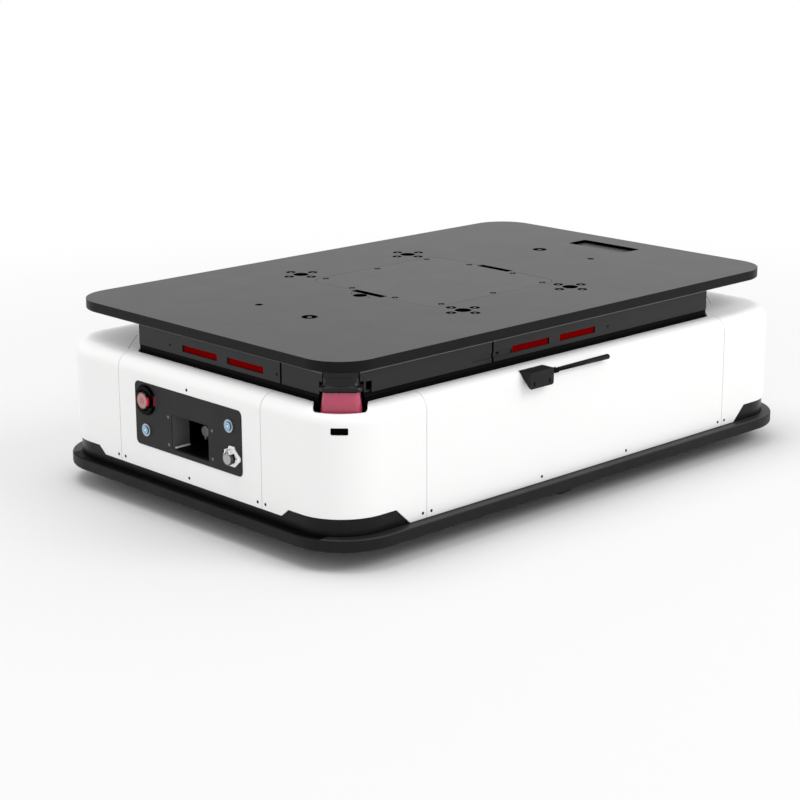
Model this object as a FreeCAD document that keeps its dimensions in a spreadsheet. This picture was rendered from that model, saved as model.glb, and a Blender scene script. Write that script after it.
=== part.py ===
import FreeCAD, Part
import Sketcher
import math
import os
import re

from FreeCAD import Placement, Rotation, Vector

# Low-profile lifting mobile robot.  Millimetres, +Z up, origin on the floor under the centre.
# -X is the end with the control panel, -Y the side with the antenna.

os.makedirs("parts", exist_ok=True)
doc = FreeCAD.newDocument("mobile_robot")
sizes = doc.addObject("Spreadsheet::Sheet", "Sizes")

SIZES = {
    # Lift plate and what is cut in it
    "plate_length": 1000.0,
    "plate_width": 640.0,
    "plate_thick": 16.0,
    "plate_corner": 66.0,
    "plate_top": 300.0,
    "plate_edge": 1.5,
    "lift_stroke": 60.0,
    "cover_side": 291.0,
    "cover_corner": 25.0,
    "cover_thick": 5.0,
    "cover_gap": 0.5,
    "cover_ledge": 20.0,
    "cover_screw_inset": 9.5,
    "cover_screw_end": 117.0,
    "cover_screw_side": 51.0,
    "grip_length": 71.0,
    "grip_width": 9.0,
    "port_hole": 16.0,
    "port_offset": 165.0,
    "port_screw_pitch": 40.0,
    "port_screw_hole": 4.0,
    "locate_pitch_long": 648.0,
    "locate_pitch_wide": 120.0,
    "locate_small": 9.0,
    "locate_large": 20.0,
    "tray_length": 46.0,
    "tray_width": 129.0,
    "tray_depth": 5.5,
    "tray_corner": 3.0,
    "tray_centre": 428.0,
    # Lift columns, their flange screws and the lead screws in them
    "column_long": 124.0,
    "column_wide": 191.0,
    "column_hole": 23.0,
    "flange_diameter": 76.0,
    "flange_thick": 8.0,
    "flange_circle": 52.0,
    "tube_diameter": 40.0,
    "tube_bore": 25.0,
    "tube_bottom": 112.0,
    "nut_height": 22.0,
    "screw_diameter": 20.0,
    "screw_top": 200.0,
    "screw_journal": 12.0,
    "run_gap": 0.05,
    "guide_diameter": 58.0,
    "guide_flange": 72.0,
    "guide_flange_thick": 7.0,
    "guide_bottom": 150.0,
    "pulley_radius": 20.0,
    "pulley_height": 10.0,
    "pulley_flange": 1.2,
    "pulley_teeth": 20.0,
    "tooth_depth": 1.4,
    "belt_thick": 1.6,
    "belt_gap": 0.3,
    "lift_motor_offset": 230.0,
    "lift_motor_diameter": 70.0,
    "lift_motor_height": 122.0,
    "lift_motor_foot": 96.0,
    "lift_motor_plate": 5.0,
    "lift_motor_shaft": 14.0,
    # White body
    "body_length": 1034.0,
    "body_width": 677.0,
    "body_corner": 81.0,
    "body_wall": 3.0,
    "body_shoulder": 24.0,
    "rim_top": 235.5,
    "side_bottom": 50.0,
    "end_bottom": 63.0,
    "corner_bottom": 75.5,
    "end_cut_inset": 124.5,
    "end_cut_run": 15.5,
    "side_cut_inset": 137.0,
    "side_cut_run": 27.0,
    "end_seam_inset": 167.5,
    "side_seam_inset": 170.5,
    "seam_gap": 0.8,
    "rim_gap": 2.5,
    "lidar_notch": 76.5,
    "lidar_notch_floor": 227.5,
    "lidar_notch_corner": 4.0,
    "lidar_notch_shift": 1.0,
    "corner_slot_width": 25.0,
    "corner_slot_height": 10.7,
    "corner_slot_middle": 204.0,
    "corner_slot_corner": 2.0,
    "corner_slot_shift": 1.3,
    # Base, skirt and bumper
    "base_bottom": 34.0,
    "base_thick": 6.0,
    "base_inset": 2.0,
    "skirt_thick": 4.0,
    "skirt_top": 92.0,
    "bumper_reach_end": 13.5,
    "bumper_reach_side": 15.5,
    "bumper_reach_corner": 17.0,
    "bumper_bottom": 30.0,
    "bumper_top": 49.0,
    "bumper_edge": 3.0,
    # Inner frame
    "frame_wall": 8.0,
    "frame_inset_end": 182.0,
    "frame_inset_side": 102.5,
    "top_thick": 6.0,
    "hatch_side": 240.0,
    "hatch_corner": 15.0,
    # Guard rail with its sensor windows, and the seal under it
    "guard_chamfer": 148.5,
    "guard_top": 282.5,
    "guard_bottom": 247.0,
    "guard_wall": 3.0,
    "guard_step": 4.0,
    "guard_web": 3.0,
    "guard_inset_end": 32.0,
    "guard_inset_side": 33.0,
    "guard_gap": 1.5,
    "guard_end_joint_inset": 124.5,
    "guard_side_joint_inset": 308.5,
    "scanner_gap_end_inset": 41.4,
    "scanner_gap_side_inset": 46.3,
    "scanner_wall_inset": 118.5,
    "brow_length": 16.0,
    "brow_height": 17.0,
    "seal_gap": 0.8,
    "seal_groove_middle": 239.5,
    "seal_groove_height": 1.6,
    "seal_groove_depth": 1.6,
    "window_length": 83.0,
    "window_height": 10.3,
    "window_middle": 259.3,
    "window_pitch": 107.0,
    "window_end_shift": 46.5,
    "window_side_shift": 39.5,
    "lens_thick": 2.5,
    "lens_margin": 3.0,
    "guard_slot_length": 87.0,
    "guard_slot_height": 8.0,
    "guard_slot_middle": 257.5,
    "guard_slot_shift": 2.0,
    "guard_slot_depth": 1.5,
    # Laser scanners
    "lidar_inset_end": 60.5,
    "lidar_inset_side": 59.0,
    "lidar_side": 60.0,
    "lidar_corner": 9.0,
    "lidar_foot": 189.0,
    "lidar_window_bottom": 218.0,
    "lidar_window_top": 254.0,
    "lidar_top": 275.0,
    "lidar_window_low": 60.0,
    "lidar_window_high": 51.5,
    "lidar_core": 15.0,
    "lidar_cap_side": 50.0,
    "lidar_lip_side": 61.0,
    "lidar_lip_under": 56.0,
    "shelf_thick": 4.0,
    # Control panel and what it carries
    "panel_width": 256.0,
    "panel_height": 99.5,
    "panel_corner": 8.0,
    "panel_middle": 151.2,
    "panel_proud": 1.0,
    "panel_gap": 0.5,
    "panel_back": 2.0,
    "panel_margin": 4.0,
    "charge_width": 89.0,
    "charge_height": 55.5,
    "charge_shift": 6.5,
    "charge_middle": 136.3,
    "charge_funnel": 38.0,
    "charge_depth": 64.0,
    "charge_pit_side": 6.0,
    "charge_rib": 1.6,
    "charge_wall": 3.0,
    "charge_flange": 16.0,
    "contact_length": 29.0,
    "contact_diameter": 17.0,
    "pin_diameter": 4.0,
    "pin_drop": 10.5,
    "contact_pitch": 23.5,
    "knob_side": 101.0,
    "knob_high": 174.5,
    "knob_low": 127.0,
    "stop_diameter": 27.0,
    "stop_height": 7.5,
    "stop_stem": 14.0,
    "stop_travel": 3.0,
    "stop_head": 4.0,
    "shroud_outer": 44.0,
    "shroud_inner": 33.0,
    "shroud_height": 4.0,
    "shroud_floor": 0.4,
    "shroud_gap": 18.0,
    "bezel_diameter": 20.0,
    "bezel_height": 2.0,
    "button_diameter": 13.0,
    "button_height": 3.4,
    "button_stem": 8.0,
    "button_travel": 1.5,
    "service_side": 107.0,
    "service_high": 127.5,
    "port_flange_long": 38.0,
    "port_flange_high": 26.0,
    "port_flange_top": 17.0,
    "port_screw_reach": 12.5,
    "port_screw_bore": 2.6,
    "port_flange_thick": 2.5,
    "port_barrel": 17.0,
    "port_length": 6.5,
    "cap_diameter": 20.0,
    "cap_thick": 4.0,
    # Antenna
    "bracket_width": 52.5,
    "bracket_middle": 117.3,
    "bracket_top": 232.0,
    "bracket_bottom": 206.3,
    "bracket_out": 13.5,
    "bracket_sheet": 2.0,
    "bracket_corner": 4.0,
    "bracket_slot_depth": 1.4,
    "bracket_back_inset": 11.0,
    "bracket_slot_pitch": 34.0,
    "bracket_slot_width": 3.8,
    "bracket_slot_height": 7.0,
    "antenna_root": 4.5,
    "antenna_tip": 8.6,
    "antenna_length": 115.0,
    "antenna_high": 225.0,
    "antenna_stand_off": 6.5,
    "antenna_pivot": 11.0,
    # Wheels
    "drive_diameter": 170.0,
    "drive_width": 44.0,
    "drive_inset": 62.5,
    "tyre_thick": 12.0,
    "hub_width": 36.0,
    "drive_shaft": 20.0,
    "drive_motor_diameter": 60.0,
    "drive_motor_length": 110.0,
    "drive_motor_flange": 80.0,
    "drive_flange_thick": 8.0,
    "well_gap": 8.0,
    "caster_inset_end": 107.0,
    "caster_inset_side": 103.5,
    "caster_diameter": 75.0,
    "caster_width": 28.0,
    "caster_trail": 28.0,
    "caster_hole": 144.0,
    "caster_axle": 8.0,
    "caster_cheek": 4.0,
    "caster_crown": 84.0,
    "caster_race": 52.0,
    "caster_kingpin": 12.0,
    "caster_plate_bottom": 92.0,
    "caster_plate_side": 90.0,
    "caster_bridge_bottom": 98.0,
    "caster_bridge_top": 104.0,
    "caster_bridge_width": 110.0,
    "caster_leg": 8.0,
    # Power and control units
    "battery_length": 160.0,
    "battery_width": 330.0,
    "battery_height": 150.0,
    "battery_start": 158.0,
    "unit_corner": 8.0,
    "controller_length": 60.0,
    "controller_width": 150.0,
    "controller_height": 130.0,
    "controller_fins": 8.0,
    # Screws
    "screw_shank": 2.8,
    "screw_head": 5.0,
    "screw_length": 6.0,
    "cover_sink": 9.0,
    "cover_sink_depth": 3.4,
    "cover_head": 5.6,
    "cover_shank": 3.0,
    "cover_screw_length": 14.0,
    "flange_sink": 12.0,
    "flange_sink_depth": 6.5,
    "flange_head": 8.0,
    "flange_shank": 5.0,
    "bolt_sink_depth": 7.0,
    "bolt_head": 11.0,
    "bolt_shank": 6.0,
    "head_drop": 0.3,
    "end_screw_height": 71.5,
    "end_screw_inner": 10.0,
    "end_screw_outer": 7.5,
    "side_screw_inner": 9.5,
    "side_screw_outer": 7.8,
    "side_screw_height": 58.4,
    "side_screw_middle": 99.5,
    "end_screw_top": 209.0,
    "guard_screw_half": 125.5,
    "charge_screw_wide": 106.0,
    "charge_screw_high": 43.6,
    # Clear distance between pieces that move past each other
    "moving_gap": 0.4,
}

for row, (alias, size) in enumerate(SIZES.items(), start=1):
    cell = "A%d" % row
    sizes.set(cell, str(size))
    sizes.setAlias(cell, alias)
doc.recompute()

# Lengths that follow the body, so that one changed size carries along what stands on it
DERIVED = {
    "bumper_length": "body_length + 2 * bumper_reach_end",
    "bumper_width": "body_width + 2 * bumper_reach_side",
    "bumper_corner": "body_corner + bumper_reach_corner",
    "end_cut_half": "body_width / 2 - end_cut_inset",
    "side_cut_half": "body_length / 2 - side_cut_inset",
    "end_seam": "body_width / 2 - end_seam_inset",
    "side_seam": "body_length / 2 - side_seam_inset",
    "end_screw_near": "end_seam - end_screw_inner",
    "end_screw_far": "end_seam + end_screw_outer",
    "side_screw_near": "side_seam - side_screw_inner",
    "side_screw_far": "side_seam + side_screw_outer",
    "frame_half_length": "body_length / 2 - frame_inset_end",
    "frame_half_width": "body_width / 2 - frame_inset_side",
    "guard_half_length": "body_length / 2 - guard_inset_end",
    "guard_half_width": "body_width / 2 - guard_inset_side",
    "guard_end_joint": "guard_half_width - guard_end_joint_inset",
    "guard_side_joint": "guard_half_length - guard_side_joint_inset",
    "scanner_gap_end": "guard_half_width - scanner_gap_end_inset",
    "scanner_gap_side": "guard_half_length - scanner_gap_side_inset",
    "scanner_wall_sum": "guard_half_length + guard_half_width - scanner_wall_inset",
    "lidar_long": "body_length / 2 - lidar_inset_end",
    "lidar_wide": "body_width / 2 - lidar_inset_side",
    "bracket_back": "body_width / 2 - bracket_back_inset",
    "drive_side": "body_width / 2 - drive_inset",
    "caster_long": "body_length / 2 - caster_inset_end",
    "caster_wide": "body_width / 2 - caster_inset_side",
}
WORD = re.compile(r"[a-z]\w+")
MATHS = ("sqrt", "tan", "cos", "sin")


def spelled(expression):
    """The expression with every derived length written out in the sheet's own words."""
    while any(word in DERIVED for word in WORD.findall(expression)):
        expression = WORD.sub(
            lambda found: "(%s)" % DERIVED[found.group(0)] if found.group(0) in DERIVED else found.group(0),
            expression,
        )
    return expression


def value(expression):
    """Number that an expression of the sheet's words stands for."""
    return float(sizes.evalExpression(spelled(expression)))


def linked(expression):
    """The same expression as another object of the document must write it."""
    return WORD.sub(
        lambda found: found.group(0) if found.group(0) in MATHS else "Sizes." + found.group(0),
        spelled(expression),
    )


def bind(item, setting, expression):
    """Tie one setting of an object to the sheet."""
    item.setExpression(setting, linked(expression))


def place(item, at, turn=None):
    """Put an object at a point given as three expressions, with a fixed turn."""
    item.Placement = Placement(Vector(*[value(part) for part in at]), turn or Rotation())
    for axis, part in zip("xyz", at):
        bind(item, "Placement.Base." + axis, part)
    return item


# Turns that lay a local XY face on one side of the robot, with local Y upward.
FACE_FRONT = Rotation(Vector(0, -1, 0), Vector(0, 0, 1), Vector(-1, 0, 0), "ZXY")
FACE_REAR = Rotation(Vector(0, 1, 0), Vector(0, 0, 1), Vector(1, 0, 0), "ZXY")
FACE_RIGHT = Rotation(Vector(1, 0, 0), Vector(0, 0, 1), Vector(0, -1, 0), "ZXY")
FACE_LEFT = Rotation(Vector(-1, 0, 0), Vector(0, 0, 1), Vector(0, 1, 0), "ZXY")
ALONG_X = Rotation(Vector(0, 1, 0), 90)
ALONG_Y = Rotation(Vector(1, 0, 0), -90)
DIAGONAL = Rotation(Vector(0, 0, 1), 45)
FACE_CORNER = {
    -1: Rotation(Vector(1, -1, 0), Vector(0, 0, 1), Vector(-1, -1, 0), "ZXY"),
    1: Rotation(Vector(-1, 1, 0), Vector(0, 0, 1), Vector(1, 1, 0), "ZXY"),
}


def box(name, low, size, turn=None):
    """Box from its low corner and three sizes."""
    item = doc.addObject("Part::Box", name)
    for setting, part in zip(("Length", "Width", "Height"), size):
        bind(item, setting, part)
    return place(item, low, turn)


def cylinder(name, base, radius, height, turn=None):
    """Cylinder from its base point, along local Z."""
    item = doc.addObject("Part::Cylinder", name)
    bind(item, "Radius", radius)
    bind(item, "Height", height)
    return place(item, base, turn)


def cone(name, base, radius_low, radius_high, height, turn=None):
    """Cone from its base point, along local Z."""
    item = doc.addObject("Part::Cone", name)
    bind(item, "Radius1", radius_low)
    bind(item, "Radius2", radius_high)
    bind(item, "Height", height)
    return place(item, base, turn)


def fuse(name, items):
    item = doc.addObject("Part::MultiFuse", name)
    item.Shapes = items
    item.Refine = True
    return item


def group(name, items):
    """Separate solids kept side by side in one object."""
    item = doc.addObject("Part::Compound", name)
    item.Links = items
    return item


def cut(name, base, tools):
    item = doc.addObject("Part::Cut", name)
    item.Base = base
    item.Tool = tools[0] if len(tools) == 1 else fuse(name + "_tools", tools)
    return item


def common(name, base, tool):
    item = doc.addObject("Part::Common", name)
    item.Base = base
    item.Tool = tool
    return item


def mirrored(name, source, normal):
    item = doc.addObject("Part::Mirroring", name)
    item.Source = source
    item.Normal = normal
    return item


def plane_of(body, role):
    return [part for part in body.Origin.OriginFeatures if part.Role == role][0]


def sketch_on(body, name, height="0", role="XY_Plane"):
    """Empty sketch on one of the body's planes, raised by an expression."""
    sketch = body.newObject("Sketcher::SketchObject", name)
    sketch.AttachmentSupport = (plane_of(body, role), [""])
    sketch.MapMode = "FlatFace"
    if height != "0":
        bind(sketch, "AttachmentOffset.Base.z", height)
    return sketch


def fix(sketch, kind, *where_and_size):
    """Add one dimension and tie it to the sheet."""
    *where, expression = where_and_size
    index = sketch.addConstraint(Sketcher.Constraint(kind, *where, value(expression)))
    sketch.setExpression("Constraints[%d]" % index, linked(expression))


def draw_rounded(sketch, length, width, corner, centre=("0", "0")):
    """Rectangle with four equal rounded corners."""
    half_x, half_y, radius = value(length) / 2, value(width) / 2, value(corner)
    mid_x, mid_y = value(centre[0]), value(centre[1])
    first = sketch.GeometryCount
    for turn, (side_x, side_y) in enumerate(((1, 1), (-1, 1), (-1, -1), (1, -1))):
        arc_centre = Vector(mid_x + side_x * (half_x - radius), mid_y + side_y * (half_y - radius), 0)
        circle = Part.Circle(arc_centre, Vector(0, 0, 1), radius)
        start = turn * math.pi / 2
        sketch.addGeometry(Part.ArcOfCircle(circle, start, start + math.pi / 2))
    for turn in range(4):
        here = sketch.Geometry[first + turn]
        following = sketch.Geometry[first + (turn + 1) % 4]
        line = sketch.addGeometry(Part.LineSegment(here.EndPoint, following.StartPoint))
        sketch.addConstraint(Sketcher.Constraint("Tangent", first + turn, 2, line, 1))
        sketch.addConstraint(Sketcher.Constraint("Tangent", line, 2, first + (turn + 1) % 4, 1))
        sketch.addConstraint(Sketcher.Constraint("Vertical" if turn % 2 else "Horizontal", line))
    for turn in (1, 2):
        sketch.addConstraint(Sketcher.Constraint("Equal", first, first + turn))
    fix(sketch, "Radius", first, corner)
    fix(sketch, "DistanceX", first + 2, 3, first, 3, "%s - 2 * (%s)" % (length, corner))
    fix(sketch, "DistanceY", first + 2, 3, first, 3, "%s - 2 * (%s)" % (width, corner))
    fix(sketch, "DistanceX", -1, 1, first, 3, "%s + (%s) / 2 - (%s)" % (centre[0], length, corner))
    fix(sketch, "DistanceY", -1, 1, first, 3, "%s + (%s) / 2 - (%s)" % (centre[1], width, corner))


def draw_outline(sketch, points):
    """Closed outline of straight edges through points given as pairs of expressions."""
    places = [Vector(value(across), value(up), 0) for across, up in points]
    first = sketch.GeometryCount
    for number, here in enumerate(places):
        sketch.addGeometry(Part.LineSegment(here, places[(number + 1) % len(places)]))
    for number, (across, up) in enumerate(points):
        before = first + (number - 1) % len(points)
        sketch.addConstraint(Sketcher.Constraint("Coincident", before, 2, first + number, 1))
        fix(sketch, "DistanceX", -1, 1, first + number, 1, across)
        fix(sketch, "DistanceY", -1, 1, first + number, 1, up)


def draw_circles(sketch, circles):
    """Circles given as (x, y, diameter) expressions."""
    for across, up, diameter in circles:
        middle = Vector(value(across), value(up), 0)
        radius = value(diameter) / 2
        index = sketch.addGeometry(Part.Circle(middle, Vector(0, 0, 1), radius))
        fix(sketch, "DistanceX", -1, 1, index, 3, across)
        fix(sketch, "DistanceY", -1, 1, index, 3, up)
        fix(sketch, "Diameter", index, diameter)


def pad(body, sketch, height):
    item = body.newObject("PartDesign::Pad", "Pad")
    item.Profile = sketch
    bind(item, "Length", height)
    sketch.Visibility = False
    return item


def pocket(body, sketch, depth, upward=False):
    """Cut below the sketch, or above it when upward."""
    item = body.newObject("PartDesign::Pocket", "Pocket")
    item.Profile = sketch
    bind(item, "Length", depth)
    item.Reversed = upward
    sketch.Visibility = False
    return item


def new_body(name, at=None, turn=None):
    body = doc.addObject("PartDesign::Body", name)
    if at:
        place(body, at, turn)
    return body


def slab(name, length, width, corner, bottom, height, centre=("0", "0"), at=None, turn=None):
    """Body of one rounded rectangle raised by a height."""
    body = new_body(name, at, turn)
    sketch = sketch_on(body, name + "_outline", bottom)
    draw_rounded(sketch, length, width, corner, centre)
    pad(body, sketch, height)
    return body


def prism(name, points, bottom, height, at=None, turn=None):
    """Body of one straight-edged outline raised by a height."""
    body = new_body(name, at, turn)
    sketch = sketch_on(body, name + "_outline", bottom)
    draw_outline(sketch, points)
    pad(body, sketch, height)
    return body


def edges_where(feature, wanted):
    """Names of a feature's edges whose every point passes a test."""
    doc.recompute()
    names = []
    for number, edge in enumerate(feature.Shape.Edges, start=1):
        low, high = edge.ParameterRange
        points = [edge.valueAt(low + (high - low) * part) for part in (0.02, 0.5, 0.98)]
        if all(wanted(point) for point in points):
            names.append("Edge%d" % number)
    return names


def soften(body, kind, wanted, size):
    """Fillet or chamfer the body's edges that pass a test."""
    base = body.Tip
    names = edges_where(base, wanted)
    item = body.newObject("PartDesign::" + kind, kind)
    item.Base = (base, names)
    bind(item, "Radius" if kind == "Fillet" else "Size", size)
    return item


def at_height(expression):
    level = value(expression)
    return lambda point: abs(point.z - level) < 0.01


NODES = {}


def node(name, item):
    """Name an object as one separate piece of the robot."""
    item.Label = name
    NODES[name] = item
    return item


COLUMNS = [
    ("front_right", "-column_long", "-column_wide"),
    ("front_left", "-column_long", "column_wide"),
    ("rear_right", "column_long", "-column_wide"),
    ("rear_left", "column_long", "column_wide"),
]
BELOW_PLATE = "plate_top - plate_thick"
TOP_PLATE_TOP = "rim_top - body_wall"
TOP_PLATE_BOTTOM = "rim_top - body_wall - top_thick"
BASE_TOP = "base_bottom + base_thick"
PANEL_FACE = "-body_length / 2 - panel_proud"


# ---------------------------------------------------------------- screws

def countersunk(at, turn, shank, head, length):
    """Countersunk screw whose flat head faces local +Z at the given point."""
    drop = (head - shank) / 2
    profile = Part.makePolygon([
        Vector(0, 0, 0), Vector(head / 2, 0, 0), Vector(shank / 2, 0, -drop),
        Vector(shank / 2, 0, -length), Vector(0, 0, -length), Vector(0, 0, 0),
    ])
    shape = Part.Face(profile).revolve(Vector(), Vector(0, 0, 1), 360)
    shape.Placement = Placement(Vector(*[value(part) for part in at]), turn)
    return shape


def screw_set(name, places, shank, head, length):
    """Identical screws as one group of separate solids."""
    item = doc.addObject("Part::Feature", name)
    item.Shape = Part.makeCompound([
        countersunk(at, turn, value(shank), value(head), value(length)) for at, turn in places
    ])
    return item


def stepped_set(name, places, head, top, bottom, shank, end):
    """Upright stepped cylinders: a head between two depths below the plate, then a shank to an end."""
    pieces = []
    for at, _ in places:
        middle = Vector(value(at[0]), value(at[1]), 0)
        upper, lower = value(at[2]) - value(top), value(at[2]) - value(bottom)
        finish = value(at[2]) - value(end)
        wide = Part.makeCylinder(value(head) / 2, upper - lower, middle + Vector(0, 0, lower))
        narrow = Part.makeCylinder(value(shank) / 2, upper - finish, middle + Vector(0, 0, finish))
        pieces.append(wide.fuse(narrow).removeSplitter())
    item = doc.addObject("Part::Feature", name)
    item.Shape = Part.makeCompound(pieces)
    return item


def signed(sign, expression):
    return "%d * (%s)" % (sign, expression)


def panel_screw_places():
    """Screws that hold the white panels to the skirt, one or two beside each seam."""
    places = []
    for end, turn in ((-1, FACE_FRONT), (1, FACE_REAR)):
        out = signed(end, "body_length / 2")
        for side in (-1, 1):
            for offset in ("end_screw_near", "end_screw_far"):
                places.append(((out, signed(side, offset), "end_screw_height"), turn))
        places.append(((out, "0", "end_screw_height"), turn))
        places.append(((out, "0", "end_screw_top"), turn))
    for side, turn in ((-1, FACE_RIGHT), (1, FACE_LEFT)):
        out = signed(side, "body_width / 2")
        for end in (-1, 1):
            for offset in ("side_screw_near", "side_screw_far", "side_screw_middle"):
                places.append(((signed(end, offset), out, "side_screw_height"), turn))
    return places


def charge_screw_places():
    places = []
    for side in (-1, 1):
        for high in (-1, 1):
            across = "%s - charge_shift" % signed(side, "charge_screw_wide / 2")
            up = "%s + charge_middle" % signed(high, "charge_screw_high / 2")
            places.append(((PANEL_FACE, across, up), FACE_FRONT))
    return places


def guard_screw_places():
    places = []
    for end, turn in ((-1, FACE_FRONT), (1, FACE_REAR)):
        for side in (-1, 1):
            across = "%s + %s" % (signed(end, "window_end_shift"), signed(side, "guard_screw_half"))
            places.append(((signed(end, "guard_half_length"), across, "window_middle"), turn))
    for side, turn in ((-1, FACE_RIGHT), (1, FACE_LEFT)):
        for end in (-1, 1):
            along = "%s + %s" % (signed(side, "window_side_shift"), signed(end, "guard_screw_half"))
            places.append(((along, signed(side, "guard_half_width"), "window_middle"), turn))
    return places


def cover_screw_places():
    edge = "(cover_side / 2 - cover_screw_inset)"
    flat = [("%d * cover_screw_end" % step, signed(side, edge)) for side in (-1, 1) for step in (-1, 0, 1)]
    flat += [(signed(end, edge), signed(side, "cover_screw_side")) for end in (-1, 1) for side in (-1, 1)]
    return [((across, up, "plate_top"), Rotation()) for across, up in flat]


def flange_screw_places():
    reach = "flange_circle / 2"
    places = []
    for _, long_way, wide_way in COLUMNS:
        for step_x, step_y in ((1, 0), (-1, 0), (0, 1), (0, -1)):
            across = "%s + %s" % (long_way, signed(step_x, reach))
            up = "%s + %s" % (wide_way, signed(step_y, reach))
            places.append(((across, up, "plate_top"), Rotation()))
    return places


def bolt_places():
    """The two large bolts beside the locating holes."""
    places = []
    for turn in (-1, 1):
        across = signed(turn, "locate_pitch_long / 2")
        places.append(((across, signed(turn, "locate_pitch_wide / 2"), "plate_top"), Rotation()))
    return places


FLANGE_END = "plate_thick + flange_thick - 2"
panel_holes = screw_set("panel_holes", panel_screw_places(), "screw_shank", "screw_head", "screw_length")
charge_holes = screw_set("charge_holes", charge_screw_places(), "screw_shank", "screw_head", "screw_length")
guard_holes = screw_set("guard_holes", guard_screw_places(), "screw_shank", "screw_head", "screw_length")


def fasteners():
    places = panel_screw_places() + charge_screw_places() + guard_screw_places()
    node("panel_screws", screw_set("panel_screws", places, "screw_shank", "screw_head", "screw_length"))
    cover_set = stepped_set("cover_set", cover_screw_places(), "cover_head", "head_drop",
                            "cover_sink_depth", "cover_shank", "cover_screw_length")
    flange_set = stepped_set("flange_set", flange_screw_places(), "flange_head", "head_drop",
                             "flange_sink_depth", "flange_shank", FLANGE_END)
    bolt_set = stepped_set("bolt_set", bolt_places(), "bolt_head", "head_drop",
                           "bolt_sink_depth", "bolt_shank", "plate_thick - 1")
    node("deck_screws", group("deck_screw_group", [cover_set, flange_set, bolt_set]))


# ---------------------------------------------------------------- lift plate

def cover_screw_holes(name):
    return stepped_set(name, cover_screw_places(), "cover_sink", "-1", "cover_sink_depth",
                       "cover_shank", "cover_screw_length")


def flange_screw_holes(name):
    return stepped_set(name, flange_screw_places(), "flange_sink", "-1", "flange_sink_depth",
                       "flange_shank", FLANGE_END)


def grip_cutters(name):
    """Two finger slots that lie half in the cover and half in the plate."""
    tools = []
    for end in (-1, 1):
        centre = (signed(end, "cover_side / 2"), "0")
        tools.append(slab(name, "grip_width", "grip_length", "grip_width / 2.01",
                          BELOW_PLATE + " - 1", "plate_thick + 2", centre))
    return tools


def lift_plate():
    body = slab("lift_plate_blank", "plate_length", "plate_width", "plate_corner",
                BELOW_PLATE, "plate_thick")
    soften(body, "Chamfer", at_height(BELOW_PLATE), "plate_edge")
    recess = sketch_on(body, "cover_recess", "plate_top")
    draw_rounded(recess, "cover_side", "cover_side", "cover_corner")
    pocket(body, recess, "cover_thick")
    opening = sketch_on(body, "cover_opening", "plate_top")
    inner = "cover_side - 2 * cover_ledge"
    draw_rounded(opening, inner, inner, "cover_corner - cover_ledge / 2")
    pocket(body, opening, "plate_thick + 1")
    tray = sketch_on(body, "tray", "plate_top")
    draw_rounded(tray, "tray_length", "tray_width", "tray_corner", ("tray_centre", "0"))
    pocket(body, tray, "tray_depth")
    holes = sketch_on(body, "plain_holes", "plate_top")
    round_holes = [(across, up, "column_hole") for _, across, up in COLUMNS]
    round_holes.append(("-port_offset", "0", "port_hole"))
    for side in (-1, 1):
        round_holes.append(("-port_offset", signed(side, "port_screw_pitch / 2"), "port_screw_hole"))
    for turn in (-1, 1):
        across = signed(turn, "locate_pitch_long / 2")
        round_holes.append((across, signed(-turn, "locate_pitch_wide / 2"), "locate_small"))
    draw_circles(holes, round_holes)
    pocket(body, holes, "plate_thick + 1")
    tools = grip_cutters("plate_grip")
    tools.append(stepped_set("plate_bolt_holes", bolt_places(), "locate_large", "-1",
                             "bolt_sink_depth", "bolt_shank", "plate_thick - 1"))
    tools.append(cover_screw_holes("plate_cover_holes"))
    tools.append(flange_screw_holes("plate_flange_holes"))
    node("lift_plate", cut("lift_plate_cut", body, tools))


def access_cover():
    side = "cover_side - 2 * cover_gap"
    body = slab("access_cover_blank", side, side, "cover_corner - cover_gap",
                "plate_top - cover_thick", "cover_thick")
    tools = grip_cutters("cover_grip")
    tools.append(cover_screw_holes("cover_holes"))
    node("access_cover", cut("access_cover_cut", body, tools))


# ---------------------------------------------------------------- lift columns and their drive

def lift_columns():
    columns = []
    for name, across, up in COLUMNS:
        flange = cylinder("column_flange", (across, up, BELOW_PLATE + " - flange_thick"),
                          "flange_diameter / 2", "flange_thick")
        tube = cylinder("column_tube", (across, up, "tube_bottom"), "tube_diameter / 2",
                        BELOW_PLATE + " - tube_bottom")
        solid = fuse("column_solid_" + name, [flange, tube])
        bore = cylinder("column_bore", (across, up, "tube_bottom + nut_height"), "tube_bore / 2",
                        "plate_top - tube_bottom")
        nut = cylinder("column_nut_bore", (across, up, "tube_bottom - 1"),
                       "screw_diameter / 2 + run_gap", "nut_height + 2")
        holes = flange_screw_holes("column_flange_holes")
        columns.append(cut("column_" + name, solid, [bore, nut, holes]))
    node("lift_columns", group("lift_column_group", columns))


def lift_guides():
    """Bushed sleeves under the frame's top that keep the columns upright."""
    guides = []
    for name, across, up in COLUMNS:
        sleeve = cylinder("guide_sleeve", (across, up, "guide_bottom"), "guide_diameter / 2",
                          TOP_PLATE_BOTTOM + " - guide_bottom")
        flange = cylinder("guide_flange", (across, up, TOP_PLATE_BOTTOM + " - guide_flange_thick"),
                          "guide_flange / 2", "guide_flange_thick")
        solid = fuse("guide_solid_" + name, [sleeve, flange])
        bore = cylinder("guide_bore", (across, up, "guide_bottom - 1"), "tube_diameter / 2 + run_gap",
                        "rim_top")
        guides.append(cut("guide_" + name, solid, [bore]))
    node("lift_guides", group("lift_guide_group", guides))


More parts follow.
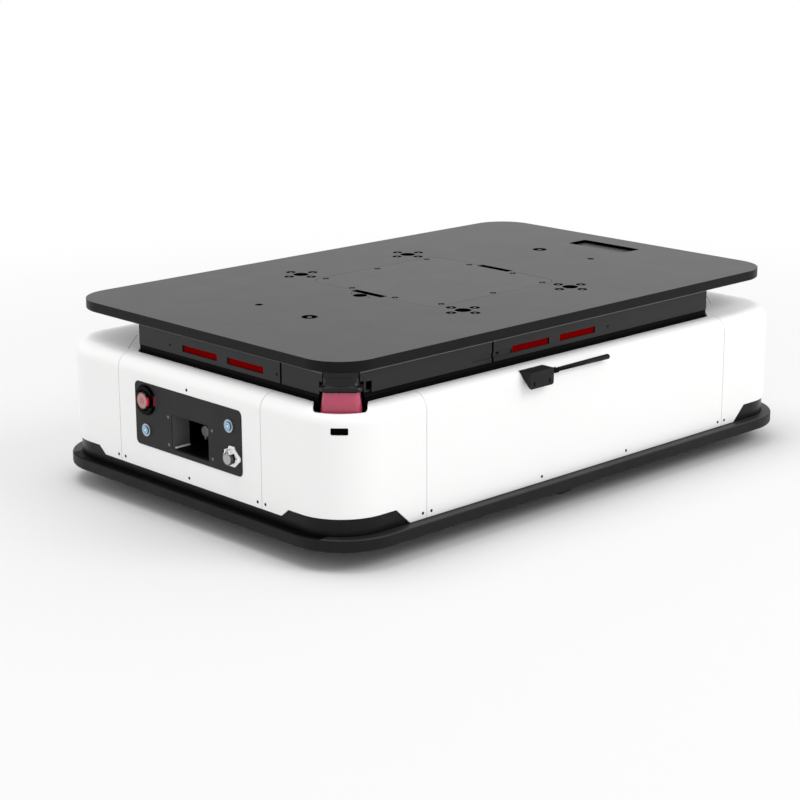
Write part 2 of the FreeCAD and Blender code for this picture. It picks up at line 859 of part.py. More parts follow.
def toothed_pulley(name, across, up, bottom, height):
    """Belt pulley with a ring of tooth gaps between two flanges."""
    rim = "(pulley_radius - belt_gap)"
    hub = cylinder(name + "_hub", (across, up, bottom), rim, height)
    gap = cylinder(name + "_gap", ("%s + %s" % (across, rim), up, bottom + " + pulley_flange"),
                   "tooth_depth", "%s - 2 * pulley_flange" % height)
    array = doc.addObject("Part::Feature", name + "_gaps")
    middle = Vector(value(across), value(up), 0)
    doc.recompute()
    gaps = []
    for number in range(int(value("pulley_teeth"))):
        tooth = gap.Shape.copy()
        tooth.rotate(middle, Vector(0, 0, 1), 360.0 * number / value("pulley_teeth"))
        gaps.append(tooth)
    array.Shape = Part.makeCompound(gaps)
    return cut(name, hub, [array])


def lead_screws():
    for name, across, up in COLUMNS:
        pulley = toothed_pulley("screw_pulley_" + name, across, up, BASE_TOP + " + moving_gap", "pulley_height")
        journal = cylinder("screw_journal", (across, up, "base_bottom + 1"), "screw_journal / 2",
                           "base_thick + moving_gap")
        shaft = cylinder("screw_shaft", (across, up, BASE_TOP + " + moving_gap"), "screw_diameter / 2",
                         "screw_top - (%s) - moving_gap" % BASE_TOP)
        node("lead_screw_" + name, fuse("lead_screw_solid_" + name, [pulley, journal, shaft]))


def lift_belt():
    """Closed belt round the four screw pulleys and the motor's pulley."""
    loop = [("-lift_motor_offset", "0"), ("-column_long", "-column_wide"), ("column_long", "-column_wide"),
            ("column_long", "column_wide"), ("-column_long", "column_wide")]
    level = value(BASE_TOP + " + moving_gap + pulley_flange")
    corners = [Vector(value(across), value(up), level) for across, up in loop]
    wire = Part.makePolygon(corners + corners[:1])
    inner = wire.makeOffset2D(value("pulley_radius"), 0, False, False, False)
    outer = wire.makeOffset2D(value("pulley_radius + belt_thick"), 0, False, False, False)
    face = Part.Face([outer.Wires[0], inner.Wires[0]], "Part::FaceMakerBullseye")
    item = doc.addObject("Part::Feature", "lift_belt_loop")
    item.Shape = face.extrude(Vector(0, 0, value("pulley_height - 2 * pulley_flange")))
    node("lift_belt", item)


def lift_motor():
    """Upright gearmotor on a four-legged foot plate, with its shaft pointing down."""
    plate_bottom = BASE_TOP + " + pulley_height + 5"
    foot = slab("lift_motor_foot", "lift_motor_foot", "lift_motor_foot", "unit_corner", plate_bottom,
                "lift_motor_plate", ("-lift_motor_offset", "0"))
    legs = []
    for side_x in (-1, 1):
        for side_y in (-1, 1):
            across = "-lift_motor_offset + %s" % signed(side_x, "(lift_motor_foot / 2 - 8)")
            up = signed(side_y, "(lift_motor_foot / 2 - 8)")
            legs.append(cylinder("lift_motor_leg", (across, up, BASE_TOP), "6", "pulley_height + 5"))
    can = cylinder("lift_motor_can", ("-lift_motor_offset", "0", plate_bottom + " + lift_motor_plate"),
                   "lift_motor_diameter / 2", "lift_motor_height")
    solid = fuse("lift_motor_solid", [foot, can] + legs)
    bore = cylinder("lift_motor_bore", ("-lift_motor_offset", "0", BASE_TOP),
                    "lift_motor_shaft / 2 + run_gap", "pulley_height + 30")
    node("lift_motor", cut("lift_motor_cut", solid, [bore]))
    pulley = toothed_pulley("motor_pulley", "-lift_motor_offset", "0", BASE_TOP + " + moving_gap", "pulley_height")
    shaft = cylinder("motor_shaft", ("-lift_motor_offset", "0", BASE_TOP + " + moving_gap"),
                     "lift_motor_shaft / 2", "pulley_height + 25")
    node("lift_pulley", fuse("lift_pulley_solid", [pulley, shaft]))


# ---------------------------------------------------------------- white body

def lidar_local(name, low, size, end):
    """Box in the corner's own frame: X outward along the diagonal, Y across it."""
    item = box(name, ("0", "0", "0"), size)
    turn = Rotation(Vector(0, 0, 1), 45 if end > 0 else 225)
    origin = Vector(end * value("lidar_long"), end * value("lidar_wide"), 0)
    item.Placement = Placement(origin + turn.multVec(Vector(*[value(part) for part in low])), turn)
    for axis, sine in (("x", "lidar_long"), ("y", "lidar_wide")):
        first, second = ("%s", "-1 * (%s)") if axis == "x" else ("%s", "(%s)")
        part = "(%s + %s) * sqrt(0.5)" % (first % low[0], second % low[1])
        bind(item, "Placement.Base." + axis, "%d * (%s + %s)" % (end, sine, part))
    bind(item, "Placement.Base.z", low[2])
    return item


def guard_outline_points():
    """Outline of the guard rail: two chamfered corners, two folded in behind a scanner."""
    long_way, wide_way = "guard_half_length", "guard_half_width"
    quarter = [
        ("-1 * " + long_way, "-1 * scanner_gap_end"),
        ("-1 * " + long_way, "%s - guard_chamfer" % wide_way),
        ("-1 * %s + guard_chamfer" % long_way, wide_way),
        ("scanner_gap_side", wide_way),
    ]
    # Each fold runs diagonally inward to the wall behind the scanner.
    fold_side = ("scanner_gap_side - (scanner_gap_side + guard_half_width - scanner_wall_sum) / 2",
                 "guard_half_width - (scanner_gap_side + guard_half_width - scanner_wall_sum) / 2")
    fold_end = ("guard_half_length - (guard_half_length + scanner_gap_end - scanner_wall_sum) / 2",
                "scanner_gap_end - (guard_half_length + scanner_gap_end - scanner_wall_sum) / 2")
    half = quarter + [fold_side, fold_end]
    other = [("-1 * (%s)" % across, "-1 * (%s)" % up) for across, up in half]
    return half + other


guard_outline = doc.addObject("Sketcher::SketchObject", "guard_outline")
draw_outline(guard_outline, guard_outline_points())


def outline_prism(name, grow, bottom, height):
    """Solid inside the guard outline grown by an expression, between two levels."""
    offset = doc.addObject("Part::Offset2D", name + "_offset")
    offset.Source = guard_outline
    bind(offset, "Value", grow)
    offset.Join = 2
    solid = doc.addObject("Part::Extrusion", name)
    solid.Base = offset
    solid.DirMode = "Custom"
    solid.Dir = Vector(0, 0, 1)
    solid.Solid = True
    bind(solid, "LengthFwd", height)
    return place_extrusion(solid, bottom)


def place_extrusion(solid, bottom):
    return place(solid, ("0", "0", bottom))


def body_blank():
    """One-piece white shell, before its seams part it into panels."""
    outer = slab("body_outer", "body_length", "body_width", "body_corner", "side_bottom",
                 "rim_top - side_bottom")
    soften(outer, "Fillet", at_height("rim_top"), "body_shoulder")
    inner = slab("body_inner", "body_length - 2 * body_wall", "body_width - 2 * body_wall",
                 "body_corner - body_wall", "side_bottom - 1", TOP_PLATE_TOP + " - side_bottom + 1")
    soften(inner, "Fillet", at_height(TOP_PLATE_TOP), "body_shoulder - body_wall")
    opening = outline_prism("body_opening", "rim_gap", TOP_PLATE_TOP + " - 1", "body_wall + 2")
    tools = [inner, opening, panel_holes]
    tools += end_cutters() + side_cutters()
    for end in (-1, 1):
        at = (signed(end, "lidar_long"), signed(end, "lidar_wide"), "0")
        tools.append(slab("lidar_notch_tool", "lidar_notch", "40", "lidar_notch_corner", "-60", "200",
                          ("-lidar_notch_shift", "lidar_notch_floor + 20"), at, FACE_CORNER[end]))
        tools.append(slab("corner_slot_tool", "corner_slot_width", "corner_slot_height",
                          "corner_slot_corner", "0", "100", ("-corner_slot_shift", "corner_slot_middle"),
                          at, FACE_CORNER[end]))
    tools.append(slab("panel_opening", "panel_width + 2 * panel_gap", "panel_height + 2 * panel_gap",
                      "panel_corner + panel_gap", "-10", "20",
                      at=("-body_length / 2", "0", "panel_middle"), turn=FACE_FRONT))
    return cut("body_shell", outer, tools), outer


def end_cutters():
    """Trapezoid that lifts the lower edge of both ends towards the corners."""
    points = [("-body_width", "0"), ("body_width", "0"), ("body_width", "corner_bottom"),
              ("end_cut_half + end_cut_run", "corner_bottom"), ("end_cut_half", "end_bottom"),
              ("-end_cut_half", "end_bottom"), ("-end_cut_half - end_cut_run", "corner_bottom"),
              ("-body_width", "corner_bottom")]
    tools = []
    for name, turn, start in (("front", FACE_FRONT, "-body_length / 2 + body_corner"),
                              ("rear", FACE_REAR, "body_length / 2 - body_corner")):
        tools.append(prism("end_cut_" + name, points, "0", "body_corner + 10", (start, "0", "0"), turn))
    return tools


def side_cutters():
    points = [("-body_length", "0"), ("body_length", "0"), ("body_length", "corner_bottom"),
              ("side_cut_half + side_cut_run", "corner_bottom"), ("side_cut_half", "side_bottom"),
              ("-side_cut_half", "side_bottom"), ("-side_cut_half - side_cut_run", "corner_bottom"),
              ("-body_length", "corner_bottom")]
    tools = []
    for name, turn, start in (("right", FACE_RIGHT, "-body_width / 2 + body_corner"),
                              ("left", FACE_LEFT, "body_width / 2 - body_corner")):
        tools.append(prism("side_cut_" + name, points, "0", "body_corner + 10", ("0", start, "0"), turn))
    return tools


def body_panels(shell):
    """Part the shell at its seams into two ends, two sides and four corners."""
    reach_x, reach_y = "(body_length / 2 + 5)", "(body_width / 2 + 5)"
    depth = "body_corner"
    for name, end in (("front", -1), ("rear", 1)):
        low = "-%s" % reach_x if end < 0 else "%s - %s" % (reach_x, depth)
        region = box("region_end_" + name, (low, "-end_seam + seam_gap / 2", "0"),
                     (depth, "2 * end_seam - seam_gap", "rim_top + 5"))
        node("end_panel_" + name, common("end_panel_solid_" + name, shell, region))
    for name, side in (("right", -1), ("left", 1)):
        low = "-%s" % reach_y if side < 0 else "%s - %s" % (reach_y, depth)
        region = box("region_side_" + name, ("-side_seam + seam_gap / 2", low, "0"),
                     ("2 * side_seam - seam_gap", depth, "rim_top + 5"))
        node("side_panel_" + name, common("side_panel_solid_" + name, shell, region))
    for end_name, end in (("front", -1), ("rear", 1)):
        for side_name, side in (("right", -1), ("left", 1)):
            low_x = "-%s" % reach_x if end < 0 else "side_seam + seam_gap / 2"
            low_y = "-%s" % reach_y if side < 0 else "end_seam + seam_gap / 2"
            region = box("region_corner", (low_x, low_y, "0"),
                         ("%s - side_seam - seam_gap / 2" % reach_x,
                          "%s - end_seam - seam_gap / 2" % reach_y, "rim_top + 5"))
            name = "corner_shell_%s_%s" % (end_name, side_name)
            node(name, common(name + "_solid", shell, region))


# ---------------------------------------------------------------- base, skirt, bumper, frame

def base_plate():
    body = slab("base_plate_blank", "body_length - 2 * base_inset", "body_width - 2 * base_inset",
                "body_corner - base_inset", "base_bottom", "base_thick")
    holes = sketch_on(body, "base_holes", BASE_TOP)
    circles = [(across, up, "screw_journal + 2 * run_gap") for _, across, up in COLUMNS]
    for side_x in (-1, 1):
        for side_y in (-1, 1):
            circles.append((signed(side_x, "caster_long"), signed(side_y, "caster_wide"), "caster_hole"))
    draw_circles(holes, circles)
    pocket(body, holes, "base_thick + 1")
    wells = sketch_on(body, "wheel_wells", BASE_TOP)
    for side in (-1, 1):
        draw_rounded(wells, "drive_diameter + 2 * well_gap", "drive_width + 2 * well_gap", "well_gap",
                     ("0", signed(side, "drive_side")))
    pocket(body, wells, "base_thick + 1")
    node("base_plate", body)


def base_skirt():
    body = slab("base_skirt_ring", "body_length - 2 * body_wall", "body_width - 2 * body_wall",
                "body_corner - body_wall", BASE_TOP, "skirt_top - (%s)" % BASE_TOP)
    inside = sketch_on(body, "skirt_inside", "skirt_top")
    draw_rounded(inside, "body_length - 2 * body_wall - 2 * skirt_thick",
                 "body_width - 2 * body_wall - 2 * skirt_thick", "body_corner - body_wall - skirt_thick")
    pocket(body, inside, "skirt_top")
    node("base_skirt", cut("base_skirt_cut", body, [panel_holes]))


def bumper():
    body = slab("bumper_ring", "bumper_length", "bumper_width", "bumper_corner", "bumper_bottom",
                "bumper_top - bumper_bottom")
    inside = sketch_on(body, "bumper_inside", "bumper_top")
    draw_rounded(inside, "body_length - 2 * base_inset", "body_width - 2 * base_inset",
                 "body_corner - base_inset")
    pocket(body, inside, "bumper_top")
    def outer_rim(point):
        level = abs(point.z - value("bumper_top")) < 0.01 or abs(point.z - value("bumper_bottom")) < 0.01
        wall_x = value("bumper_length / 2") - abs(point.x) < 2
        wall_y = value("bumper_width / 2") - abs(point.y) < 2
        corner = Vector(abs(point.x) - value("bumper_length / 2 - bumper_corner"),
                        abs(point.y) - value("bumper_width / 2 - bumper_corner"), 0)
        rounded = corner.x > 0 and corner.y > 0 and corner.Length > value("bumper_corner") - 2
        return level and (wall_x or wall_y or rounded)

    soften(body, "Fillet", outer_rim, "bumper_edge")
    node("bumper", body)


def caster_bridge(name, end, side):
    """Raised shelf on one leg that carries a caster's swivel plate."""
    low_x = "frame_half_length" if end > 0 else "-1 * (caster_long + caster_bridge_width / 2 + 24)"
    length = "caster_long + caster_bridge_width / 2 + 24 - frame_half_length"
    low_y = "%s - caster_bridge_width / 2" % signed(side, "caster_wide")
    shelf = box("bridge_shelf_" + name, (low_x, low_y, "caster_bridge_bottom"),
                (length, "caster_bridge_width", "caster_bridge_top - caster_bridge_bottom"))
    leg_x = "caster_long + caster_bridge_width / 2 + 24 - caster_leg"
    if end < 0:
        leg_x = "-1 * (caster_long + caster_bridge_width / 2 + 24)"
    leg = box("bridge_leg_" + name, (leg_x, low_y, BASE_TOP),
              ("caster_leg", "caster_bridge_width", "caster_bridge_bottom - (%s)" % BASE_TOP))
    plate = box("swivel_plate_" + name,
                ("%s - caster_plate_side / 2" % signed(end, "caster_long"),
                 "%s - caster_plate_side / 2" % signed(side, "caster_wide"), "caster_plate_bottom"),
                ("caster_plate_side", "caster_plate_side", "caster_bridge_bottom - caster_plate_bottom"))
    return [shelf, leg, plate]


def chassis_frame():
    """Welded box of upright plates with a caster bridge at each corner."""
    height = TOP_PLATE_BOTTOM + " - (%s)" % BASE_TOP
    outside = box("frame_outside", ("-frame_half_length", "-frame_half_width", BASE_TOP),
                  ("2 * frame_half_length", "2 * frame_half_width", height))
    inside = box("frame_inside", ("-frame_half_length + frame_wall", "-frame_half_width + frame_wall",
                                  BASE_TOP + " - 1"),
                 ("2 * (frame_half_length - frame_wall)", "2 * (frame_half_width - frame_wall)",
                  height + " + 2"))
    ring = cut("frame_ring", outside, [inside])
    pieces = [ring]
    for end_name, end in (("front", -1), ("rear", 1)):
        for side_name, side in (("right", -1), ("left", 1)):
            pieces += caster_bridge("%s_%s" % (end_name, side_name), end, side)
    solid = fuse("frame_weldment", pieces)
    tools = []
    shaft = cylinder("drive_shaft_hole", ("0", "-frame_half_width - 5", "drive_diameter / 2"),
                     "drive_motor_diameter / 2 - 6", "2 * frame_half_width + 10", ALONG_Y)
    tools.append(shaft)
    for side_x in (-1, 1):
        for side_y in (-1, 1):
            tools.append(cylinder("kingpin_hole", (signed(side_x, "caster_long"),
                                  signed(side_y, "caster_wide"), "caster_plate_bottom - 1"),
                                  "caster_kingpin / 2 + run_gap", "6"))
    node("chassis_frame", cut("chassis_frame_cut", solid, tools))


def end_tab(end):
    """Bent tab under the plate that takes the upper screw of one end panel."""
    inner_face = "body_length / 2 - body_wall - moving_gap"
    root = "body_length / 2 - body_shoulder - 24"
    level = "end_screw_top + 2"
    spans = [(root, "3", level, TOP_PLATE_BOTTOM), (root, "%s - (%s)" % (inner_face, root), level, level + " + 3"),
             (inner_face + " - 3", "3", "end_screw_top - 3.5", level + " + 3")]
    pieces = []
    for start, length, low, high in spans:
        low_x = start if end > 0 else "-1 * (%s + %s)" % (start, length)
        pieces.append(box("end_tab", (low_x, "-10", low), (length, "20", "%s - (%s)" % (high, low))))
    return pieces


def chassis_top_plate():
    """Plate under the lift plate, with a drop shelf for each scanner."""
    inset = "2 * body_shoulder"
    body = slab("top_plate_blank", "body_length - " + inset, "body_width - " + inset,
                "body_corner - body_shoulder", TOP_PLATE_BOTTOM, "top_thick")
    hatch = sketch_on(body, "hatch", TOP_PLATE_TOP)
    draw_rounded(hatch, "hatch_side", "hatch_side", "hatch_corner")
    pocket(body, hatch, "top_thick + 1")
    holes = sketch_on(body, "column_holes", TOP_PLATE_TOP)
    draw_circles(holes, [(across, up, "tube_diameter + 4") for _, across, up in COLUMNS])
    pocket(body, holes, "top_thick + 1")
    notches = [lidar_local("scanner_notch", ("-lidar_side / 2 - 16", "-lidar_notch / 2", TOP_PLATE_BOTTOM + " - 1"),
                           ("200", "lidar_notch", "top_thick + 2"), end) for end in (-1, 1)]
    plate = cut("top_plate_notched", body, notches)
    pieces = [plate]
    depth = "lidar_side + 8"
    for end in (-1, 1):
        shelf_low = "lidar_foot - shelf_thick"
        start = "-lidar_side / 2 - 16"
        pieces.append(lidar_local("scanner_shelf", (start, "-lidar_notch / 2 - shelf_thick", shelf_low),
                                  (depth, "lidar_notch + 2 * shelf_thick", "shelf_thick"), end))
        for side in (-1, 1):
            low_y = "lidar_notch / 2" if side > 0 else "-lidar_notch / 2 - shelf_thick"
            pieces.append(lidar_local("scanner_hanger", (start, low_y, shelf_low),
                                      (depth, "shelf_thick", TOP_PLATE_BOTTOM + " - (%s)" % shelf_low), end))
    for end in (-1, 1):
        pieces += end_tab(end)
    solid = fuse("chassis_top_solid", pieces)
    node("chassis_top_plate", cut("chassis_top_drilled", solid, [panel_holes]))


# ---------------------------------------------------------------- guard rail, seal, windows

def guard_ring():
    """Whole rail: an upright skirt that steps back over the seal."""
    upper = cut("guard_upper", outline_prism("guard_skin", "0.001", "guard_bottom", "guard_top - guard_bottom"),
                [outline_prism("guard_hollow", "-guard_wall", "guard_bottom + guard_web",
                               "guard_top - guard_bottom")])
    lower = outline_prism("guard_foot", "-guard_step", TOP_PLATE_TOP, "guard_bottom - (%s)" % TOP_PLATE_TOP)
    solid = fuse("guard_solid", [upper, lower])
    hollow = outline_prism("guard_inside", "-guard_step - guard_wall", TOP_PLATE_TOP + " - 1",
                           "guard_top - guard_bottom + 60")
    tools = [hollow, guard_holes]
    for end, turn in ((-1, FACE_FRONT), (1, FACE_REAR)):
        for step in (-1, 1):
            across = "%s + %s" % (signed(end, "window_end_shift"), signed(step, "window_pitch / 2"))
            tools.append(slab("window_slot", "window_length", "window_height", "1.5", "-10", "20",
                              at=(signed(end, "guard_half_length"), across, "window_middle"), turn=turn))
    for side, turn in ((-1, FACE_RIGHT), (1, FACE_LEFT)):
        for step in (-1, 1):
            along = "%s + %s" % (signed(side, "window_side_shift"), signed(step, "window_pitch / 2"))
            tools.append(slab("window_slot", "window_length", "window_height", "1.5", "-10", "20",
                              at=(along, signed(side, "guard_half_width"), "window_middle"), turn=turn))
        along = signed(side, "guard_side_joint + guard_slot_shift")
        tools.append(slab("cable_slot", "guard_slot_length", "guard_slot_height", "guard_slot_height / 2.05",
                          "-guard_slot_depth", "20",
                          at=(along, signed(side, "guard_half_width"), "guard_slot_middle"), turn=turn))
        low_x = "scanner_gap_side - brow_length" if side > 0 else "-1 * scanner_gap_side - 1"
        low_y = "guard_half_width - guard_wall - 0.5" if side > 0 else "-1 * guard_half_width - 5"
        tools.append(box("brow_notch", (low_x, low_y, "guard_bottom - 1"),
                         ("brow_length + 1", "guard_wall + 5.5", "brow_height + 1")))
    return cut("guard_rail", solid, tools)


def guard_pieces(rail):
    """Part the rail at its four joints."""
    reach_x, reach_y = "(guard_half_length + 10)", "(guard_half_width + 10)"
    gap = "guard_gap / 2"
    corner = {}
    for name, end in (("front", -1), ("rear", 1)):
        low_x = "-%s" % reach_x if end < 0 else "guard_side_joint + " + gap
        low_y = "-%s" % reach_y if end < 0 else "guard_end_joint + " + gap
        corner[name] = box("region_lidar_" + name, (low_x, low_y, "0"),
                           ("%s - guard_side_joint - %s" % (reach_x, gap),
                            "%s - guard_end_joint - %s" % (reach_y, gap), "plate_top"))
        node("lidar_guard_" + name, common("lidar_guard_solid_" + name, rail, corner[name]))
    for name, end in (("left", -1), ("right", 1)):
        points = [(signed(end, reach_x), signed(end, "guard_end_joint - " + gap)),
                  (signed(end, reach_x), signed(-end, reach_y)),
                  (signed(-end, "guard_side_joint - " + gap), signed(-end, reach_y)),
                  (signed(-end, "guard_side_joint - " + gap), signed(end, "guard_end_joint - " + gap))]
        region = prism("region_guard_" + name, points, "0", "plate_top")
        node("guard_" + name, common("guard_solid_" + name, rail, region))


def rim_seal():
    outer = outline_prism("seal_outer", "-seal_gap", TOP_PLATE_TOP,
                          "guard_bottom - (%s) - moving_gap" % TOP_PLATE_TOP)
    inner = outline_prism("seal_inner", "-guard_step", TOP_PLATE_TOP + " - 1", "guard_bottom")
    low = "seal_groove_middle - seal_groove_height / 2"
    beyond = outline_prism("groove_outer", "1", low, "seal_groove_height")
    within = outline_prism("groove_inner", "-seal_gap - seal_groove_depth", low + " - 1",
                           "seal_groove_height + 2")
    groove = cut("seal_groove", beyond, [within])
    node("rim_seal", cut("rim_seal_cut", outer, [inner, groove]))


def sensor_windows():
    """Four identical red strips behind the rail's slots."""
    length = "window_pitch + window_length + 2 * lens_margin"
    height = "window_height + 2 * lens_margin"
    strips = []
    for end, turn in ((-1, FACE_FRONT), (1, FACE_REAR)):
        strips.append(slab("window_strip", length, height, "2", "-guard_wall - lens_thick", "lens_thick",
                           at=(signed(end, "guard_half_length"), signed(end, "window_end_shift"),
                               "window_middle"), turn=turn))
    for side, turn in ((-1, FACE_RIGHT), (1, FACE_LEFT)):
        strips.append(slab("window_strip", length, height, "2", "-guard_wall - lens_thick", "lens_thick",
                           at=(signed(side, "window_side_shift"), signed(side, "guard_half_width"),
                               "window_middle"), turn=turn))
    node("sensor_windows", group("sensor_window_group", strips))


# ---------------------------------------------------------------- scanners

def lidar(name, end):
    """Scanner on its shelf: square foot, round core and overhanging cap, with a tapered window."""
    at = (signed(end, "lidar_long"), signed(end, "lidar_wide"), "0")
    foot = slab("lidar_foot_" + name, "lidar_side", "lidar_side", "lidar_corner", "lidar_foot",
                "lidar_window_bottom - lidar_foot", at=at, turn=DIAGONAL)
    cap = new_body("lidar_cap_" + name, at, DIAGONAL)
    levels = [("lidar_window_top", "lidar_lip_under"), ("lidar_window_top + 1.2", "lidar_lip_side - 2"),
              ("lidar_window_top + 3", "lidar_lip_side"), ("lidar_window_top + 5", "lidar_lip_side"),
              ("lidar_window_top + 7.5", "lidar_lip_side - 2.5"), ("lidar_window_top + 10", "lidar_cap_side + 3"),
              ("lidar_window_top + 13", "lidar_cap_side"), ("lidar_top", "lidar_cap_side")]
    rings = []
    for number, (level, side) in enumerate(levels):
        ring = sketch_on(cap, "cap_ring_%d" % number, level)
        draw_rounded(ring, side, side, "lidar_corner")
        ring.Visibility = False
        rings.append(ring)
    skin = cap.newObject("PartDesign::AdditiveLoft", "cap_loft")
    skin.Profile = rings[0]
    skin.Sections = rings[1:]
    skin.Ruled = True
    core = cylinder("lidar_core_" + name, (at[0], at[1], "lidar_window_bottom"), "lidar_core",
                    "lidar_window_top - lidar_window_bottom")
    node("lidar_" + name, fuse("lidar_solid_" + name, [foot, cap, core]))
    window = new_body("lidar_window_" + name, at, DIAGONAL)
    low = sketch_on(window, "window_low", "lidar_window_bottom")
    draw_rounded(low, "lidar_window_low", "lidar_window_low", "lidar_corner")
    high = sketch_on(window, "window_high", "lidar_window_top")
    draw_rounded(high, "lidar_window_high", "lidar_window_high", "lidar_corner")
    loft = window.newObject("PartDesign::AdditiveLoft", "window_loft")
    loft.Profile = low
    loft.Sections = [high]
    bore = sketch_on(window, "window_bore", "lidar_window_top")
    draw_circles(bore, [("0", "0", "2 * lidar_core")])
    pocket(window, bore, "lidar_window_top")
    return window


# ---------------------------------------------------------------- control panel

def panel_local(name, kind, across, up, radius, start, height):
    """Cylinder or ring standing on the control panel, from a depth behind its face outward."""
    return kind(name, ("%s - (%s)" % (PANEL_FACE, start), across, up), radius, height, FACE_FRONT)


def control_panel():
    """Black plate let into the front panel, with a hidden flange behind it."""
    at = (PANEL_FACE, "0", "panel_middle")
    face = slab("panel_plate", "panel_width", "panel_height", "panel_corner",
                "-panel_proud - body_wall", "panel_proud + body_wall", at=at, turn=FACE_FRONT)
    flange = slab("panel_flange", "panel_width + 2 * panel_margin", "panel_height + 2 * panel_margin",
                  "panel_corner", "-panel_proud - body_wall - panel_back", "panel_back", at=at, turn=FACE_FRONT)
    solid = fuse("panel_solid", [face, flange])
    tools = [charge_holes]
    tools.append(slab("charge_opening", "charge_width", "charge_height", "2", "-20", "40",
                      at=(PANEL_FACE, "-charge_shift", "charge_middle"), turn=FACE_FRONT))
    stem_holes = (("knob_side", "knob_high", "stop_stem / 2 + moving_gap"),
                  ("knob_side", "knob_low", "button_stem / 2 + moving_gap"),
                  ("-knob_side", "knob_high", "button_stem / 2 + moving_gap"))
    for across, up, radius in stem_holes:
        tools.append(panel_local("stem_hole", cylinder, across, up, radius, "-20", "40"))
    node("control_panel", cut("control_panel_cut", solid, tools))


def charge_port():
    """Tapered funnel behind the panel that guides the charger's nose to two contacts."""
    start = "-body_length / 2 + body_wall + panel_back"
    across, up = "-charge_shift", "charge_middle"
    at = (start, across, up)
    flange = slab("charge_flange_plate", "charge_width + 2 * charge_flange",
                  "charge_height + charge_flange", "3", "-charge_wall", "charge_wall", at=at, turn=FACE_FRONT)
    shell = slab("charge_shell", "charge_width + 2 * charge_wall", "charge_height + 2 * charge_wall",
                 "3", "-charge_depth", "charge_depth - charge_wall", at=at, turn=FACE_FRONT)
    chamber = slab("charge_chamber", "charge_width + 2 * charge_pit_side + 2 * charge_wall",
                   "charge_height + 2 * charge_pit_side + 2 * charge_wall", "3", "-charge_depth",
                   "charge_depth - charge_funnel + charge_wall", at=at, turn=FACE_FRONT)
    solid = fuse("charge_solid", [flange, shell, chamber])
    funnel = slab("charge_funnel", "charge_width", "charge_height", "2", "-charge_funnel",
                  "charge_funnel + 1", at=at, turn=FACE_FRONT)
    pit = slab("charge_pit", "charge_width + 2 * charge_pit_side", "charge_height + 2 * charge_pit_side",
               "2", "-charge_depth + charge_wall", "charge_depth - charge_wall - charge_funnel",
               at=at, turn=FACE_FRONT)
    hollow = cut("charge_hollow", solid, [funnel, pit, charge_holes])
    rib = box("charge_guide_rib", (start + " + 1", "%s + charge_width / 2 - charge_rib" % across,
                                   "%s - charge_height / 2 + 1" % up),
              ("charge_funnel - 1", "charge_rib + 0.5", "charge_rib"))
    node("charge_port", fuse("charge_port_solid", [hollow, rib]))
    contacts = []
    length = "contact_length"
    reach = start + " + charge_depth - charge_wall"
    for side in (-1, 1):
        place_y = "%s - charge_shift" % signed(side, "contact_pitch / 2")
        contacts.append(cylinder("charge_contact", (reach, place_y, "charge_middle"),
                                 "contact_diameter / 2", length, FACE_FRONT))
        contacts.append(cylinder("charge_pin", (reach, place_y, "charge_middle - pin_drop"),
                                 "pin_diameter / 2", length, FACE_FRONT))
    node("charge_contacts", group("charge_contact_group", contacts))


def stop_button():
    """Mushroom on a stem inside a two-part shroud that is open at both sides."""
    across, up = "knob_side", "knob_high"
    outer = panel_local("shroud_outer", cylinder, across, up, "shroud_outer / 2", "0", "shroud_height")
    inner = panel_local("shroud_inner", cylinder, across, up, "shroud_inner / 2", "shroud_floor",
                        "shroud_height")
    stem = panel_local("shroud_stem_hole", cylinder, across, up, "stop_stem / 2 + moving_gap", "-1", "20")
    slot = box("shroud_slot", ("%s - shroud_height - 5" % PANEL_FACE, "knob_side - shroud_outer",
                               "knob_high - shroud_gap / 2"),
               ("shroud_height + 5 - shroud_floor", "2 * shroud_outer", "shroud_gap"))
    node("stop_shroud", cut("stop_shroud_cut", outer, [inner, stem, slot]))
    head = panel_local("stop_head", cylinder, across, up, "stop_diameter / 2",
                       "stop_height - stop_head", "stop_head")
    stalk = panel_local("stop_stalk", cylinder, across, up, "stop_stem / 2", "-10",
                        "stop_height - stop_head + 11")
    solid = fuse("stop_solid", [head, stalk])
    rounded = doc.addObject("Part::Fillet", "stop_rounded")
    rounded.Base = solid
    doc.recompute()
    front = value(PANEL_FACE + " - stop_height")
    names = [number for number, edge in enumerate(solid.Shape.Edges, start=1)
             if all(abs(vertex.X - front) < 0.01 for vertex in edge.Vertexes) and edge.Vertexes]
    rounded.Edges = [(number, 1.2, 1.2) for number in names]
    node("stop_button", rounded)


def push_buttons():
    bezels = []
    for name, across, up in (("left", "knob_side", "knob_low"), ("right", "-knob_side", "knob_high")):
        ring = panel_local("bezel_ring", cylinder, across, up, "bezel_diameter / 2", "0", "bezel_height")
        hole = panel_local("bezel_hole", cylinder, across, up, "button_diameter / 2 + moving_gap", "-5", "20")
        bezels.append(cut("bezel_" + name, ring, [hole]))
        cap = panel_local("button_cap", cylinder, across, up, "button_diameter / 2",
                          "button_travel + moving_gap", "button_height - button_travel - moving_gap")
        stem = panel_local("button_stem", cylinder, across, up, "button_stem / 2", "-10",
                           "10.5 + button_travel + moving_gap")
        node("push_button_" + name, fuse("push_button_solid_" + name, [cap, stem]))
    node("button_bezels", group("button_bezel_group", bezels))


